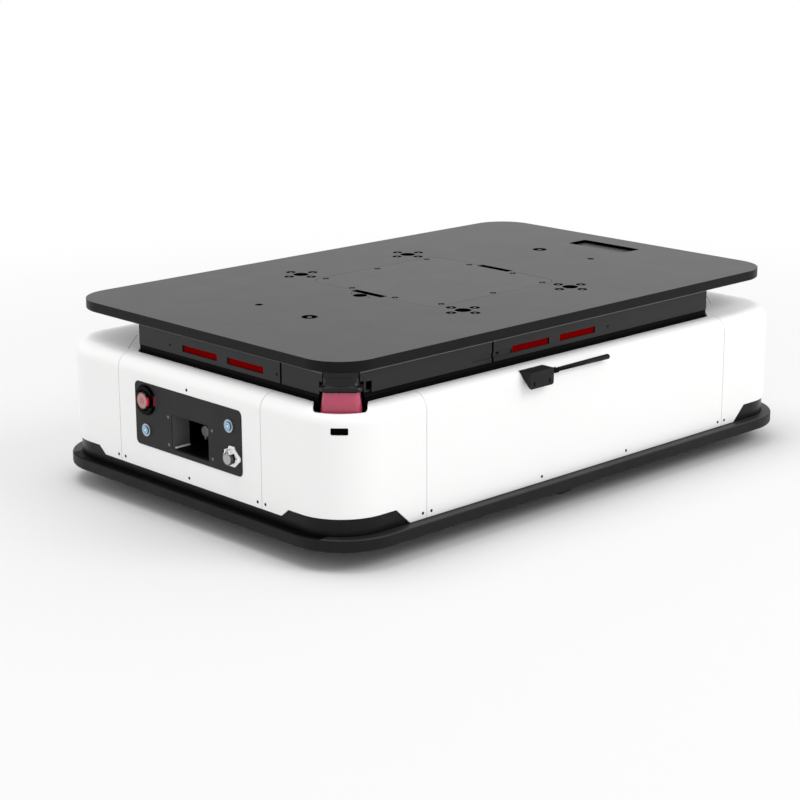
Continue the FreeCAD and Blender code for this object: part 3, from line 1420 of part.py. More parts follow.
def service_port():
    """Socket on a two-screw diamond flange, with a lid hinged above it."""
    across, up = "-service_side", "service_high"
    half, high = "port_flange_long / 2", "port_flange_high / 2"
    points = [(half, "2"), ("7", high), ("5.5", "port_flange_top"), ("-5.5", "port_flange_top"), ("-7", high),
              ("-1 * " + half, "2"), ("-1 * " + half, "-2"), ("-7", "-1 * " + high), ("7", "-1 * " + high),
              (half, "-2")]
    flange = prism("port_flange", points, "0", "port_flange_thick", (PANEL_FACE, across, up), FACE_FRONT)
    barrel = panel_local("port_barrel", cylinder, across, up, "port_barrel / 2", "0", "port_length")
    bore = panel_local("port_bore", cylinder, across, up, "port_barrel / 2 - 2", "2", "port_length")
    screws = [panel_local("port_screw", cylinder, across + " + " + signed(side, "port_screw_reach"), up,
                          "port_screw_bore / 2", "1", "10") for side in (-1, 1)]
    ears = []
    for side in (-1, 1):
        ears.append(box("port_ear", (PANEL_FACE + " - port_length - 4",
                    "%s + %s - 1" % (across, signed(side, "5")), up + " + port_barrel / 2 - 1.6"),
                    ("port_length + 4", "2", "6.6")))
    solid = fuse("port_solid", [flange, barrel] + ears)
    pin_hole = cylinder("port_pin_hole", (PANEL_FACE + " - port_length - 1.8", across + " - 8",
                        up + " + port_barrel / 2 + 2.8"), "0.8 + run_gap", "16", ALONG_Y)
    node("service_port", cut("service_port_cut", solid, [bore, pin_hole] + screws))
    disc = panel_local("cap_disc", cylinder, across, up, "cap_diameter / 2", "port_length + moving_gap",
                       "cap_thick")
    clearance = box("cap_trim", (PANEL_FACE + " - port_length - 20", across + " - 15",
                                 up + " + port_barrel / 2 - 2.7"), ("30", "30", "20"))
    trimmed = cut("cap_trimmed", disc, [clearance])
    lug = box("cap_lug", (PANEL_FACE + " - port_length - 3.6", across + " - 3.7",
                          up + " + port_barrel / 2 - 4"), ("3.2", "7.4", "8.4"))
    pin = cylinder("cap_pin", (PANEL_FACE + " - port_length - 1.8", across + " - 6",
                   up + " + port_barrel / 2 + 2.8"), "0.8", "12", ALONG_Y)
    node("service_cap", fuse("service_cap_solid", [trimmed, lug, pin]))


# ---------------------------------------------------------------- antenna

def antenna(outer):
    """Folded bracket on the shoulder of the body, with a whip antenna hinged beside it."""
    face_y = "-body_width / 2 - bracket_out"
    low_x = "-bracket_middle - bracket_width / 2"
    top = box("bracket_top_sheet", (low_x, face_y, "bracket_top - bracket_sheet"),
              ("bracket_width", "body_width / 2 + bracket_out - bracket_back", "bracket_sheet"))
    front = box("bracket_front_sheet", (low_x, face_y, "bracket_bottom"),
                ("bracket_width", "bracket_sheet", "bracket_top - bracket_bottom"))
    gusset_points = [("body_width / 2 + bracket_out", "bracket_bottom"),
                     ("body_width / 2 + bracket_out", "bracket_top"), ("bracket_back", "bracket_top")]
    gussets = []
    for side in (-1, 1):
        edge = low_x if side < 0 else low_x + " + bracket_width - bracket_sheet"
        gussets.append(prism("bracket_gusset", [("-1 * (%s)" % first, second) for first, second in gusset_points],
                             "0", "bracket_sheet", (edge, "0", "0"),
                             Rotation(Vector(0, 1, 0), Vector(0, 0, 1), Vector(1, 0, 0), "ZXY")))
    axis_y = "-body_width / 2 - antenna_stand_off"
    edge_x = low_x + " + bracket_width"
    socket = cylinder("antenna_socket", (edge_x + " - 0.5", axis_y, "antenna_high"), "4.5",
                      "antenna_pivot - 3.5", ALONG_X)
    ears = []
    for side in (-1, 1):
        ears.append(box("antenna_ear", (edge_x + " + antenna_pivot - 5",
                    "%s + %s - 0.75" % (axis_y, signed(side, "3.2")), "antenna_high - 3.5"), ("9", "1.5", "7")))
    solid = fuse("bracket_solid", [top, front, socket] + gussets + ears)
    tools = [outer]
    for side in (-1, 1):
        low = low_x if side < 0 else low_x + " + bracket_width - bracket_corner"
        square = box("corner_square", (low, face_y + " - 1", "bracket_bottom"),
                     ("bracket_corner", "30", "bracket_corner"))
        middle = low_x + (" + bracket_corner" if side < 0 else " + bracket_width - bracket_corner")
        round_part = cylinder("corner_round", (middle, face_y + " - 2", "bracket_bottom + bracket_corner"),
                              "bracket_corner", "32", ALONG_Y)
        tools.append(cut("bracket_corner_cut", square, [round_part]))
        tools.append(slab("bracket_slot", "bracket_slot_width", "bracket_slot_height",
                          "bracket_slot_width / 2.05", "-bracket_slot_depth", "20",
                          at=("-bracket_middle + %s" % signed(side, "bracket_slot_pitch / 2"), face_y,
                              "bracket_bottom + 7.5"), turn=FACE_RIGHT))
    pivot_x = edge_x + " + antenna_pivot"
    tools.append(cylinder("antenna_pin_hole", (pivot_x, axis_y + " - 6", "antenna_high"), "1 + run_gap",
                          "12", ALONG_Y))
    node("antenna_bracket", cut("antenna_bracket_cut", solid, tools))
    profile = [("0", "0"), ("antenna_root / 2", "0"), ("antenna_tip / 2", "antenna_length - 1")]
    for out, along in (("0.924", "0.383"), ("0.707", "0.707"), ("0.383", "0.924")):
        profile.append(("antenna_tip / 2 * " + out, "antenna_length - 1 + antenna_tip / 2 * " + along))
    profile.append(("0", "antenna_length - 1 + antenna_tip / 2"))
    rod = revolved("antenna_rod_shaft", profile, (pivot_x + " + 6", axis_y, "antenna_high"),
                   Rotation(Vector(0, 0, 1), -90))
    tongue = box("antenna_tongue", (pivot_x + " - 2.5", axis_y + " - 2.1", "antenna_high - 2.1"),
                 ("9.5", "4.2", "4.2"))
    pin = cylinder("antenna_pin", (pivot_x, axis_y + " - 4", "antenna_high"), "1", "8", ALONG_Y)
    node("antenna_rod", fuse("antenna_rod_solid", [rod, tongue, pin]))


# ---------------------------------------------------------------- wheels

def drive_unit(name, side):
    """Gearmotor on the frame's side plate and the wheel that it turns."""
    height = "drive_diameter / 2"
    flange_y = signed(side, "frame_half_width - frame_wall")
    inward = ALONG_Y if side < 0 else Rotation(Vector(1, 0, 0), 90)
    outward = ALONG_Y if side > 0 else Rotation(Vector(1, 0, 0), 90)
    flange = cylinder("drive_flange_" + name, ("0", flange_y, height), "drive_motor_flange / 2",
                      "drive_flange_thick", inward)
    can = cylinder("drive_can_" + name, ("0", flange_y, height), "drive_motor_diameter / 2",
                   "drive_flange_thick + drive_motor_length", inward)
    nose = cylinder("drive_nose_" + name, ("0", flange_y, height), "drive_motor_diameter / 2 - 6",
                    "frame_wall", outward)
    solid = fuse("drive_motor_solid_" + name, [flange, can, nose])
    bore = cylinder("drive_bore_" + name, ("0", signed(side, "frame_half_width - frame_wall - 30"), height),
                    "drive_shaft / 2 + run_gap", "60", outward)
    motor = cut("drive_motor_cut_" + name, solid, [bore])
    profile = [("drive_shaft / 2 - 5", "-hub_width / 2"), ("drive_shaft / 2 + 14", "-hub_width / 2"),
               ("drive_shaft / 2 + 18", "-5"), ("drive_diameter / 2 - tyre_thick - 8", "-5"),
               ("drive_diameter / 2 - tyre_thick - 4", "-drive_width / 2 + 1"),
               ("drive_diameter / 2 - 2", "-drive_width / 2"), ("drive_diameter / 2", "-drive_width / 2 + 2"),
               ("drive_diameter / 2", "drive_width / 2 - 2"), ("drive_diameter / 2 - 2", "drive_width / 2"),
               ("drive_diameter / 2 - tyre_thick - 4", "drive_width / 2 - 1"),
               ("drive_diameter / 2 - tyre_thick - 8", "5"), ("drive_shaft / 2 + 18", "5"),
               ("drive_shaft / 2 + 14", "hub_width / 2"), ("drive_shaft / 2 - 5", "hub_width / 2")]
    wheel = revolved("drive_wheel_turned_" + name, profile, ("0", signed(side, "drive_side"), height),
                     Rotation())
    shaft = cylinder("drive_shaft_" + name, ("0", signed(side, "frame_half_width - frame_wall - 28"), height),
                     "drive_shaft / 2", "drive_side - frame_half_width + frame_wall + 28 + hub_width / 2 - 2",
                     outward)
    node("drive_wheel_" + name, fuse("drive_wheel_" + name + "_solid", [wheel, shaft]))
    return motor


def revolved(name, points, at, turn):
    """Body turned about its own Y axis from half a profile of (radius, along) pairs."""
    body = new_body(name, at, turn)
    sketch = sketch_on(body, name + "_profile", role="XY_Plane")
    draw_outline(sketch, points)
    item = body.newObject("PartDesign::Revolution", "Revolution")
    item.Profile = sketch
    item.ReferenceAxis = (sketch, ["V_Axis"])
    item.Angle = 360
    sketch.Visibility = False
    return body


def caster(name, end, side):
    long_way, wide_way = signed(end, "caster_long"), signed(side, "caster_wide")
    wheel_x = long_way + " + caster_trail"
    axle = "caster_diameter / 2"
    race = cylinder("caster_race", (long_way, wide_way, "caster_crown"), "caster_race / 2",
                    "caster_plate_bottom - caster_crown - moving_gap")
    kingpin = cylinder("caster_kingpin", (long_way, wide_way, "caster_crown"), "caster_kingpin / 2",
                       "caster_plate_bottom - caster_crown + 4")
    cheek_points = [("caster_trail - 9", axle + " - 9"), ("caster_trail + 9", axle + " - 9"),
                    ("caster_trail + 9", axle + " + 6"), ("caster_race / 2", "caster_crown - 6"),
                    ("caster_race / 2", "caster_crown"), ("-caster_race / 2", "caster_crown"),
                    ("-caster_race / 2", "caster_crown - 6"), ("caster_trail - 9", axle)]
    cheeks = []
    for cheek_side in (-1, 1):
        outer_face = "caster_width / 2 + 1.5 + caster_cheek"
        start = "%s + %s" % (wide_way, outer_face) if cheek_side > 0 else \
                "%s - (%s) + caster_cheek" % (wide_way, outer_face)
        cheeks.append(prism("caster_cheek", cheek_points, "0", "caster_cheek",
                            (long_way, start, "0"), FACE_RIGHT))
    crown = box("caster_crown_plate", (long_way + " - caster_race / 2", wide_way + " - caster_width / 2 - 1.5 - caster_cheek",
                                       "caster_crown - 4"),
                ("caster_race", "caster_width + 3 + 2 * caster_cheek", "4"))
    pin = cylinder("caster_axle_pin", (wheel_x, wide_way + " - caster_width / 2 - 3.5 - caster_cheek", axle),
                   "caster_axle / 2", "caster_width + 7 + 2 * caster_cheek", ALONG_Y)
    node("caster_fork_" + name, fuse("caster_fork_" + name + "_solid", [race, kingpin, crown, pin] + cheeks))
    profile = [("caster_axle / 2 + run_gap", "-caster_width / 2 - 1"), ("11", "-caster_width / 2 - 1"),
               ("14", "-caster_width / 2 + 3"), (axle + " - 10", "-caster_width / 2 + 3"),
               (axle + " - 8", "-caster_width / 2"), (axle + " - 2", "-caster_width / 2"),
               (axle, "-caster_width / 2 + 3"), (axle, "caster_width / 2 - 3"),
               (axle + " - 2", "caster_width / 2"), (axle + " - 8", "caster_width / 2"),
               (axle + " - 10", "caster_width / 2 - 3"), ("14", "caster_width / 2 - 3"),
               ("11", "caster_width / 2 + 1"), ("caster_axle / 2 + run_gap", "caster_width / 2 + 1")]
    wheel = revolved("caster_wheel_turned", profile, (wheel_x, wide_way, axle), Rotation())
    node("caster_wheel_" + name, wheel)


# ---------------------------------------------------------------- power and control

def battery_pack():
    body = slab("battery_case", "battery_length", "battery_width", "unit_corner", BASE_TOP,
                "battery_height", ("battery_start + battery_length / 2", "0"))
    groove = sketch_on(body, "lid_groove", BASE_TOP + " + battery_height")
    draw_rounded(groove, "battery_length - 12", "battery_width - 12", "unit_corner / 2",
                 ("battery_start + battery_length / 2", "0"))
    draw_rounded(groove, "battery_length - 18", "battery_width - 18", "unit_corner / 4",
                 ("battery_start + battery_length / 2", "0"))
    pocket(body, groove, "3")
    node("battery_pack", body)


def controller_box():
    """Drive controller with cooling fins, on the inner face of the frame's front plate."""
    start = "-frame_half_length + frame_wall"
    case = box("controller_case", (start, "frame_half_width - frame_wall - controller_width - 10", BASE_TOP + " + 15"),
               ("controller_length", "controller_width", "controller_height"))
    slots = []
    for number in range(int(value("controller_fins"))):
        across = "frame_half_width - frame_wall - controller_width - 10 + controller_width * %d / (controller_fins + 1) - 4" % (number + 1)
        slots.append(box("fin_slot", (start + " + controller_length - 12", across, BASE_TOP + " + 10"),
                         ("20", "8", "controller_height + 20")))
    node("controller_box", cut("controller_cut", case, slots))


def build():
    fasteners()
    lift_plate()
    access_cover()
    lift_columns()
    lift_guides()
    lead_screws()
    lift_belt()
    lift_motor()
    shell, outer = body_blank()
    body_panels(shell)
    base_plate()
    base_skirt()
    bumper()
    chassis_frame()
    chassis_top_plate()
    guard_pieces(guard_ring())
    rim_seal()
    sensor_windows()
    windows = [lidar(name, end) for name, end in (("front", -1), ("rear", 1))]
    node("lidar_windows", group("lidar_window_group", windows))
    control_panel()
    charge_port()
    stop_button()
    push_buttons()
    service_port()
    antenna(outer)
    motors = [drive_unit(name, side) for name, side in (("right", -1), ("left", 1))]
    node("drive_motors", group("drive_motor_group", motors))
    for end_name, end in (("front", -1), ("rear", 1)):
        for side_name, side in (("right", -1), ("left", 1)):
            caster("%s_%s" % (end_name, side_name), end, side)
    battery_pack()
    controller_box()


build()
doc.recompute()

for item in doc.Objects:
    if "Invalid" in item.State or "Error" in item.State:
        raise RuntimeError("%s failed: %s" % (item.Label, item.State))
for name, item in NODES.items():
    if item.Shape.isNull() or not item.Shape.isValid() or not item.Shape.Solids:
        raise RuntimeError("%s has no valid solid" % name)
for name, item in NODES.items():
    item.Shape.exportStep("parts/%s.step" % name)
print(len(NODES), "pieces")
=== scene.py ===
import math

import bmesh
import bpy
from mathutils import Matrix, Vector


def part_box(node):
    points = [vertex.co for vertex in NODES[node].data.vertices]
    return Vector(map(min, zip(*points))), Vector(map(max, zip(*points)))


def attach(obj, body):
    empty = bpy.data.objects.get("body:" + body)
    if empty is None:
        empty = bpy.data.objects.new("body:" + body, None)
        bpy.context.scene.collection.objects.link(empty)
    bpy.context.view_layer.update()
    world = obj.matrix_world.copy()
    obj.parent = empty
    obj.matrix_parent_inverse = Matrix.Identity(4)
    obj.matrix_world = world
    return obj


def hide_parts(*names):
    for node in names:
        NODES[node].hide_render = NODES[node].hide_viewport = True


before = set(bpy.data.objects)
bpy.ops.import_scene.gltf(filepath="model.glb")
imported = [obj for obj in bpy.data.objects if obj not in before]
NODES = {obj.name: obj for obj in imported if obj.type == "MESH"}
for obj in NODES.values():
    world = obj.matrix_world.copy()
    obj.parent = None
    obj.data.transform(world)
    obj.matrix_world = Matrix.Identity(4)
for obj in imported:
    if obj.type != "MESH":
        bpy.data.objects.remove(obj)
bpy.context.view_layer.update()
CORNERS = ("front_right", "front_left", "rear_right", "rear_left")
scene = bpy.context.scene


# ------------------------------------------------------------------ shader nodes

NOISE_LOW, NOISE_HIGH = 0.3, 0.7
MOTTLE_SCALE, SMUDGE_SCALE = 7.0, 16.0
WAVE_DEPTH, GRAIN_DEPTH = 0.0004, 0.0002
MIX_SOCKETS = {"FLOAT": (2, 3, 0), "RGBA": (6, 7, 2)}


def srgb(level):
    """Linear value of an 8-bit display level."""
    part = level / 255
    return part / 12.92 if part <= 0.04045 else ((part + 0.055) / 1.055) ** 2.4


def rgb(red, green=None, blue=None):
    """Linear colour of three display levels, or of one grey level."""
    if green is None:
        green = blue = red
    return (srgb(red), srgb(green), srgb(blue), 1.0)


def shade(colour, share):
    """A colour made darker or lighter by a share."""
    return tuple(min(1.0, part * share) for part in colour[:3]) + (1.0,)


class Nodes:
    """Adds, feeds and links the shader nodes of a material or a world."""

    def __init__(self, owner, clear=True):
        if clear:
            owner.use_nodes = True
            owner.node_tree.nodes.clear()
        self.tree = owner.node_tree

    def add(self, kind, **settings):
        item = self.tree.nodes.new("ShaderNode" + kind)
        for name, setting in settings.items():
            setattr(item, name, setting)
        return item

    def feed(self, source, target, socket):
        """Put an output or a constant into an input."""
        if isinstance(source, bpy.types.NodeSocket):
            self.tree.links.new(source, target.inputs[socket])
        else:
            target.inputs[socket].default_value = source

    def math(self, operation, *sources, **settings):
        """Result of a Math node."""
        item = self.add("Math", operation=operation, **settings)
        for socket, source in enumerate(sources):
            self.feed(source, item, socket)
        return item.outputs["Value"]

    def vector(self, operation, *sources):
        """Result of a Vector Math node: a number for a length, otherwise a vector."""
        item = self.add("VectorMath", operation=operation)
        for socket, source in enumerate(sources):
            self.feed(source, item, socket)
        return item.outputs["Value" if operation == "LENGTH" else "Vector"]

    def place(self):
        """The part's own coordinates."""
        return self.add("TexCoord").outputs["Object"]

    def parts(self, source):
        """The three numbers of a vector."""
        item = self.add("SeparateXYZ")
        self.feed(source, item, "Vector")
        return [item.outputs[axis] for axis in "XYZ"]

    def mix(self, kind, share, first, second):
        """Blend of two colours (RGBA) or two numbers (FLOAT)."""
        low, high, result = MIX_SOCKETS[kind]
        item = self.add("Mix", data_type=kind)
        for socket, source in ((0, share), (low, first), (high, second)):
            self.feed(source, item, socket)
        return item.outputs[result]

    def noise(self, scale, detail, roughness=0.55):
        texture = self.add("TexNoise")
        for socket, number in (("Scale", scale), ("Detail", detail), ("Roughness", roughness)):
            self.feed(number, texture, socket)
        self.feed(self.place(), texture, "Vector")
        return texture.outputs["Fac"]

    def span(self, source, low, high):
        """A noise carried over to a range of its own."""
        remap = self.add("MapRange")
        limits = (("From Min", NOISE_LOW), ("From Max", NOISE_HIGH), ("To Min", low), ("To Max", high))
        for socket, number in limits:
            self.feed(number, remap, socket)
        self.feed(source, remap, "Value")
        return remap.outputs["Result"]

    def tint(self, source, stops):
        """Colour ramp through a list of positions and colours."""
        ramp = self.add("ValToRGB")
        elements = ramp.color_ramp.elements
        elements[0].position, elements[0].color = stops[0]
        elements[1].position, elements[1].color = stops[-1]
        for position, colour in stops[1:-1]:
            elements.new(position).color = colour
        self.feed(source, ramp, "Fac")
        return ramp.outputs["Color"]

    def bumped(self, target, layers, soft_edge):
        """Chain of bump layers over a softened edge, into the target's normal."""
        last = None
        if soft_edge:
            bevel = self.add("Bevel", samples=6)
            self.feed(soft_edge, bevel, "Radius")
            last = bevel.outputs["Normal"]
        for height, strength, distance in layers:
            bump = self.add("Bump")
            self.feed(strength, bump, "Strength")
            self.feed(distance, bump, "Distance")
            self.feed(height, bump, "Height")
            if last is not None:
                self.feed(last, bump, "Normal")
            last = bump.outputs["Normal"]
        if last is not None:
            self.feed(last, target, "Normal")


def shader_of(material):
    return material.node_tree.nodes["Principled BSDF"]


def surface(name, colour, rough, vary=0.06, grain=0.0, grain_scale=1800, wave=0.0, wave_scale=90,
            rough_vary=0.05, metallic=0.0, coat=0.0, coat_rough=0.1, edge=0.0006, specular=0.5):
    """Painted, moulded or machined surface with mottling, grain and softened edges."""
    material = bpy.data.materials.new(name)
    nodes = Nodes(material)
    out = nodes.add("OutputMaterial")
    shader = nodes.add("BsdfPrincipled")
    nodes.feed(shader.outputs["BSDF"], out, "Surface")
    mottle = nodes.noise(MOTTLE_SCALE, 4.0)
    stops = ((NOISE_LOW, shade(colour, 1 - vary)), (NOISE_HIGH, shade(colour, 1 + vary)))
    nodes.feed(nodes.tint(mottle, stops), shader, "Base Color")
    smudge = nodes.noise(SMUDGE_SCALE, 5.0, 0.6)
    nodes.feed(nodes.span(smudge, rough - rough_vary, rough + rough_vary), shader, "Roughness")
    shader.inputs["Metallic"].default_value = metallic
    shader.inputs["Coat Weight"].default_value = coat
    shader.inputs["Coat Roughness"].default_value = coat_rough
    shader.inputs["Specular IOR Level"].default_value = specular
    layers = []
    if wave:
        layers.append((nodes.noise(wave_scale, 2.0), wave, WAVE_DEPTH))
    if grain:
        layers.append((nodes.noise(grain_scale, 2.0, 0.6), grain, GRAIN_DEPTH))
    nodes.bumped(shader, layers, edge)
    return material


# ------------------------------------------------------------------ masks

ACROSS_X, ACROSS_Y, ACROSS_Z = (0, 1, 1), (1, 0, 1), (1, 1, 0)
WHOLE_PLAN = (0.6, 0.4)
LEVEL_FACE = 0.6


def recolour(material, mask, colour, specular=None):
    """Lay a colour, and a specular level if given, over a surface where a mask is one."""
    nodes, shader = Nodes(material, clear=False), shader_of(material)
    before = shader.inputs["Base Color"].links[0].from_socket
    nodes.feed(nodes.mix("RGBA", mask, before, colour), shader, "Base Color")
    if specular is not None:
        level = shader.inputs["Specular IOR Level"]
        before = level.links[0].from_socket if level.links else level.default_value
        nodes.feed(nodes.mix("FLOAT", mask, before, specular), shader, "Specular IOR Level")


def both(material, first, second):
    """Mask that is one where both of two masks are."""
    return Nodes(material, clear=False).math("MULTIPLY", first, second)


def any_of(material, masks):
    """Mask that is one where at least one of several masks is."""
    nodes = Nodes(material, clear=False)
    total = masks[0]
    for mask in masks[1:]:
        total = nodes.math("MAXIMUM", total, mask)
    return total


def within(material, low, high):
    """Mask that is one inside a box of the part's own coordinates."""
    nodes = Nodes(material, clear=False)
    centre = [(low[axis] + high[axis]) / 2 for axis in range(3)]
    reach = [(high[axis] - low[axis]) / 2 for axis in range(3)]
    size = nodes.vector("ABSOLUTE", nodes.vector("SUBTRACT", nodes.place(), centre))
    x, y, z = nodes.parts(nodes.vector("DIVIDE", size, reach))
    return nodes.math("LESS_THAN", nodes.math("MAXIMUM", nodes.math("MAXIMUM", x, y), z), 1.0)


def layer(material, bottom, top, plan=WHOLE_PLAN):
    """Mask that is one between two heights, over a rectangle about the centre."""
    return within(material, (-plan[0], -plan[1], bottom), (plan[0], plan[1], top))


def from_axis(nodes, place, centre, across):
    """Distance from an axis through a centre, counted only across that axis."""
    shift = nodes.vector("SUBTRACT", place, centre)
    return nodes.vector("LENGTH", nodes.vector("MULTIPLY", shift, across))


def ring_mask(material, centre, inner, outer, across=ACROSS_Z, mirrored=True):
    """Mask that is one between two radii of an axis, mirrored to each quarter by default."""
    nodes = Nodes(material, clear=False)
    place = nodes.place()
    if mirrored:
        place = nodes.vector("ABSOLUTE", place)
    reach = from_axis(nodes, place, centre, across)
    return both(material, nodes.math("LESS_THAN", reach, outer), nodes.math("GREATER_THAN", reach, inner))


def upright(material):
    """Mask that is one on faces that don't look up."""
    nodes = Nodes(material, clear=False)
    rise = nodes.parts(nodes.add("NewGeometry").outputs["Normal"])[2]
    return nodes.math("LESS_THAN", rise, LEVEL_FACE)


def lengthwise(material, start, stop):
    """Mask that rises from nought to one along the part's length."""
    nodes = Nodes(material, clear=False)
    x = nodes.parts(nodes.place())[0]
    return nodes.math("DIVIDE", nodes.math("SUBTRACT", x, start), stop - start, use_clamp=True)


# ------------------------------------------------------------------ body and lift plate

# Near-black, used for painted shade in holes, sinks, gaps and slots, and for dark joints.
HOLE_BLACK = rgb(2)
PLATE_ENDS = (-0.5, 0.5)

WHITE_PAINT = surface("white_paint", (0.86, 0.86, 0.855, 1), 0.34, vary=0.004, wave=0.01, wave_scale=140,
                      rough_vary=0.02, coat=0.2, coat_rough=0.12, edge=0.001)
JOINT_OFFSET, JOINT_HALF_WIDTH = 0.6712, 0.0009
PLAIN_CORNERS = (((-0.4885, 0.182, 0.232), (-0.4225, 0.2493, 0.24)),
                 ((0.4225, -0.2493, 0.232), (0.4885, -0.182, 0.24)))


def corner_joint(material):
    """Mask that is one along a diagonal joint across the two plain corners of the rim."""
    nodes = Nodes(material, clear=False)
    x, y, _ = nodes.parts(nodes.place())
    spread = nodes.math("ABSOLUTE", nodes.math("SUBTRACT", y, x))
    line = nodes.math("COMPARE", spread, JOINT_OFFSET, JOINT_HALF_WIDTH)
    ends = [within(material, *corner) for corner in PLAIN_CORNERS]
    return both(material, line, any_of(material, ends))


recolour(WHITE_PAINT, corner_joint(WHITE_PAINT), rgb(56))

# The plate's top carries a painted reflection that darkens towards the front; painted shade makes its edge
# and the walls of its holes darker still.
# Each radius pair is the inner and outer edge of a ring of painted shade.
PLATE_HEIGHTS = (0.2, 0.4)
PLATE_FIELD = (0.455, 0.28)
PLATE_SINK = 0.2942
COVER_SEAT, COVER_SEAT_PLAN = (0.2962, 0.2970), (0.17, 0.17)
PLATE_TOP_FACE = (0.2999, 0.3010)
COLUMN_X, COLUMN_Y, COLUMN_RADII = 0.124, 0.191, (0.011, 0.0128)
COLUMN_SCREW_STEP, COLUMN_SCREW_RADII = 0.0262, (0.0058, 0.0082)
LOCATING_X, LOCATING_Y = 0.324, 0.06
LOCATING_RADII, BOLT_RADII = (0.004, 0.0062), (0.009, 0.0126)
PORT_X, PORT_RADII = -0.165, (0.007, 0.0115)
SLOT_X, SLOT_HALF_WIDTH, SLOT_HALF_LENGTH = 0.1456, 0.007, 0.0355


def finger_slots(material):
    """Masks of the two slots at the ends of the access cover."""
    masks = []
    for turn in (-1, 1):
        low = (turn * SLOT_X - SLOT_HALF_WIDTH, -SLOT_HALF_LENGTH, PLATE_HEIGHTS[0])
        high = (turn * SLOT_X + SLOT_HALF_WIDTH, SLOT_HALF_LENGTH, PLATE_HEIGHTS[1])
        masks.append(within(material, low, high))
    return masks


def plate_shade_marks(material):
    """Masks of the rings of painted shade round the plate's holes and bolts, and of its slots."""
    masks = [ring_mask(material, (COLUMN_X, COLUMN_Y, 0), *COLUMN_RADII),
             ring_mask(material, (LOCATING_X, LOCATING_Y, 0), *LOCATING_RADII)]
    for step_x, step_y in ((1, 0), (-1, 0), (0, 1), (0, -1)):
        centre = (COLUMN_X + step_x * COLUMN_SCREW_STEP, COLUMN_Y + step_y * COLUMN_SCREW_STEP, 0)
        masks.append(ring_mask(material, centre, *COLUMN_SCREW_RADII))
    masks.append(ring_mask(material, (PORT_X, 0, 0), *PORT_RADII, mirrored=False))
    for turn in (-1, 1):
        centre = (turn * LOCATING_X, turn * LOCATING_Y, 0)
        masks.append(ring_mask(material, centre, *BOLT_RADII, mirrored=False))
    return masks + finger_slots(material)


DECK = surface("deck_paint", rgb(46), 0.42, vary=0.012, grain=0.08, grain_scale=1500, rough_vary=0.012,
               edge=0.0012, specular=0.22)
# Painted reflection along the top; painted shade on the edge, in the sinks, at the cover's seat, in the
# rings and in the slots.
recolour(DECK, lengthwise(DECK, *PLATE_ENDS), rgb(57))
recolour(DECK, upright(DECK), rgb(10), 0.13)
recolour(DECK, both(DECK, upright(DECK), layer(DECK, *PLATE_HEIGHTS, PLATE_FIELD)), HOLE_BLACK, 0.0)
recolour(DECK, layer(DECK, PLATE_HEIGHTS[0], PLATE_SINK, PLATE_FIELD), rgb(4), 0.04)
recolour(DECK, layer(DECK, *COVER_SEAT, COVER_SEAT_PLAN), HOLE_BLACK, 0.0)
recolour(DECK, both(DECK, layer(DECK, *PLATE_TOP_FACE), any_of(DECK, plate_shade_marks(DECK))), HOLE_BLACK, 0.0)

COVER_SINK = 0.2975
COVER_SPOTS, COVER_RADII = ((0, 0.136, 0), (0.117, 0.136, 0), (0.136, 0.051, 0)), (0.004, 0.0055)
COVER = surface("cover_paint", rgb(47), 0.41, vary=0.012, grain=0.08, grain_scale=1500, rough_vary=0.012,
                edge=0.0004, specular=0.22)
# Painted reflection along the top; painted shade on the edges, in the sink, in the screw rings and in the
# slots.
recolour(COVER, lengthwise(COVER, *PLATE_ENDS), rgb(58))
recolour(COVER, upright(COVER), HOLE_BLACK, 0.0)
recolour(COVER, layer(COVER, PLATE_HEIGHTS[0], COVER_SINK), HOLE_BLACK, 0.0)
COVER_SHADE_MARKS = [ring_mask(COVER, spot, *COVER_RADII) for spot in COVER_SPOTS] + finger_slots(COVER)
recolour(COVER, any_of(COVER, COVER_SHADE_MARKS), HOLE_BLACK, 0.0)

# Guard: a painted highlight along its upper fold, and a black joint between each two of its lengths.
GUARD_HIGHLIGHT_LINE = (0.2782, 0.2796)
GUARD_JOINT_HEIGHTS = (0.23, 0.2778)
GUARD_JOINTS = (((0.484, 0.181), (0.004, 0.0019)), ((0.1765, 0.304), (0.0019, 0.004)))
GUARD = surface("guard_paint", rgb(28), 0.38, vary=0.04, grain=0.08, grain_scale=1600, rough_vary=0.03,
                edge=0.0008, specular=0.24)
recolour(GUARD, layer(GUARD, *GUARD_HIGHLIGHT_LINE), rgb(104))
joints = []
for turn in (-1, 1):
    for middle, reach in GUARD_JOINTS:
        low = (turn * middle[0] - reach[0], turn * middle[1] - reach[1], GUARD_JOINT_HEIGHTS[0])
        high = (turn * middle[0] + reach[0], turn * middle[1] + reach[1], GUARD_JOINT_HEIGHTS[1])
        joints.append(within(GUARD, low, high))
recolour(GUARD, any_of(GUARD, joints), HOLE_BLACK, 0.0)

# Bumper: painted shade darkens the short side's ledge, which lies in the shade of the skirt, and darkens
# the upright faces less.
BUMPER_END_LEDGE_SHADE = ((-0.54, -0.3, 0.02), (-0.5, 0.3, 0.06))
BUMPER = surface("bumper_rubber", rgb(30), 0.5, vary=0.06, grain=0.2, grain_scale=1300, wave=0.02,
                 wave_scale=40, edge=0.0, specular=0.34)
recolour(BUMPER, within(BUMPER, *BUMPER_END_LEDGE_SHADE), rgb(3), 0.05)
recolour(BUMPER, upright(BUMPER), rgb(16), 0.17)
SKIRT = surface("skirt_paint", rgb(14), 0.32, vary=0.06, grain=0.08, edge=0.0006, specular=0.16)
SEAL = surface("seal_rubber", rgb(2), 0.6, vary=0.1, grain=0.15, edge=0.0005, specular=0.06)


# ------------------------------------------------------------------ panel, antenna and inner parts

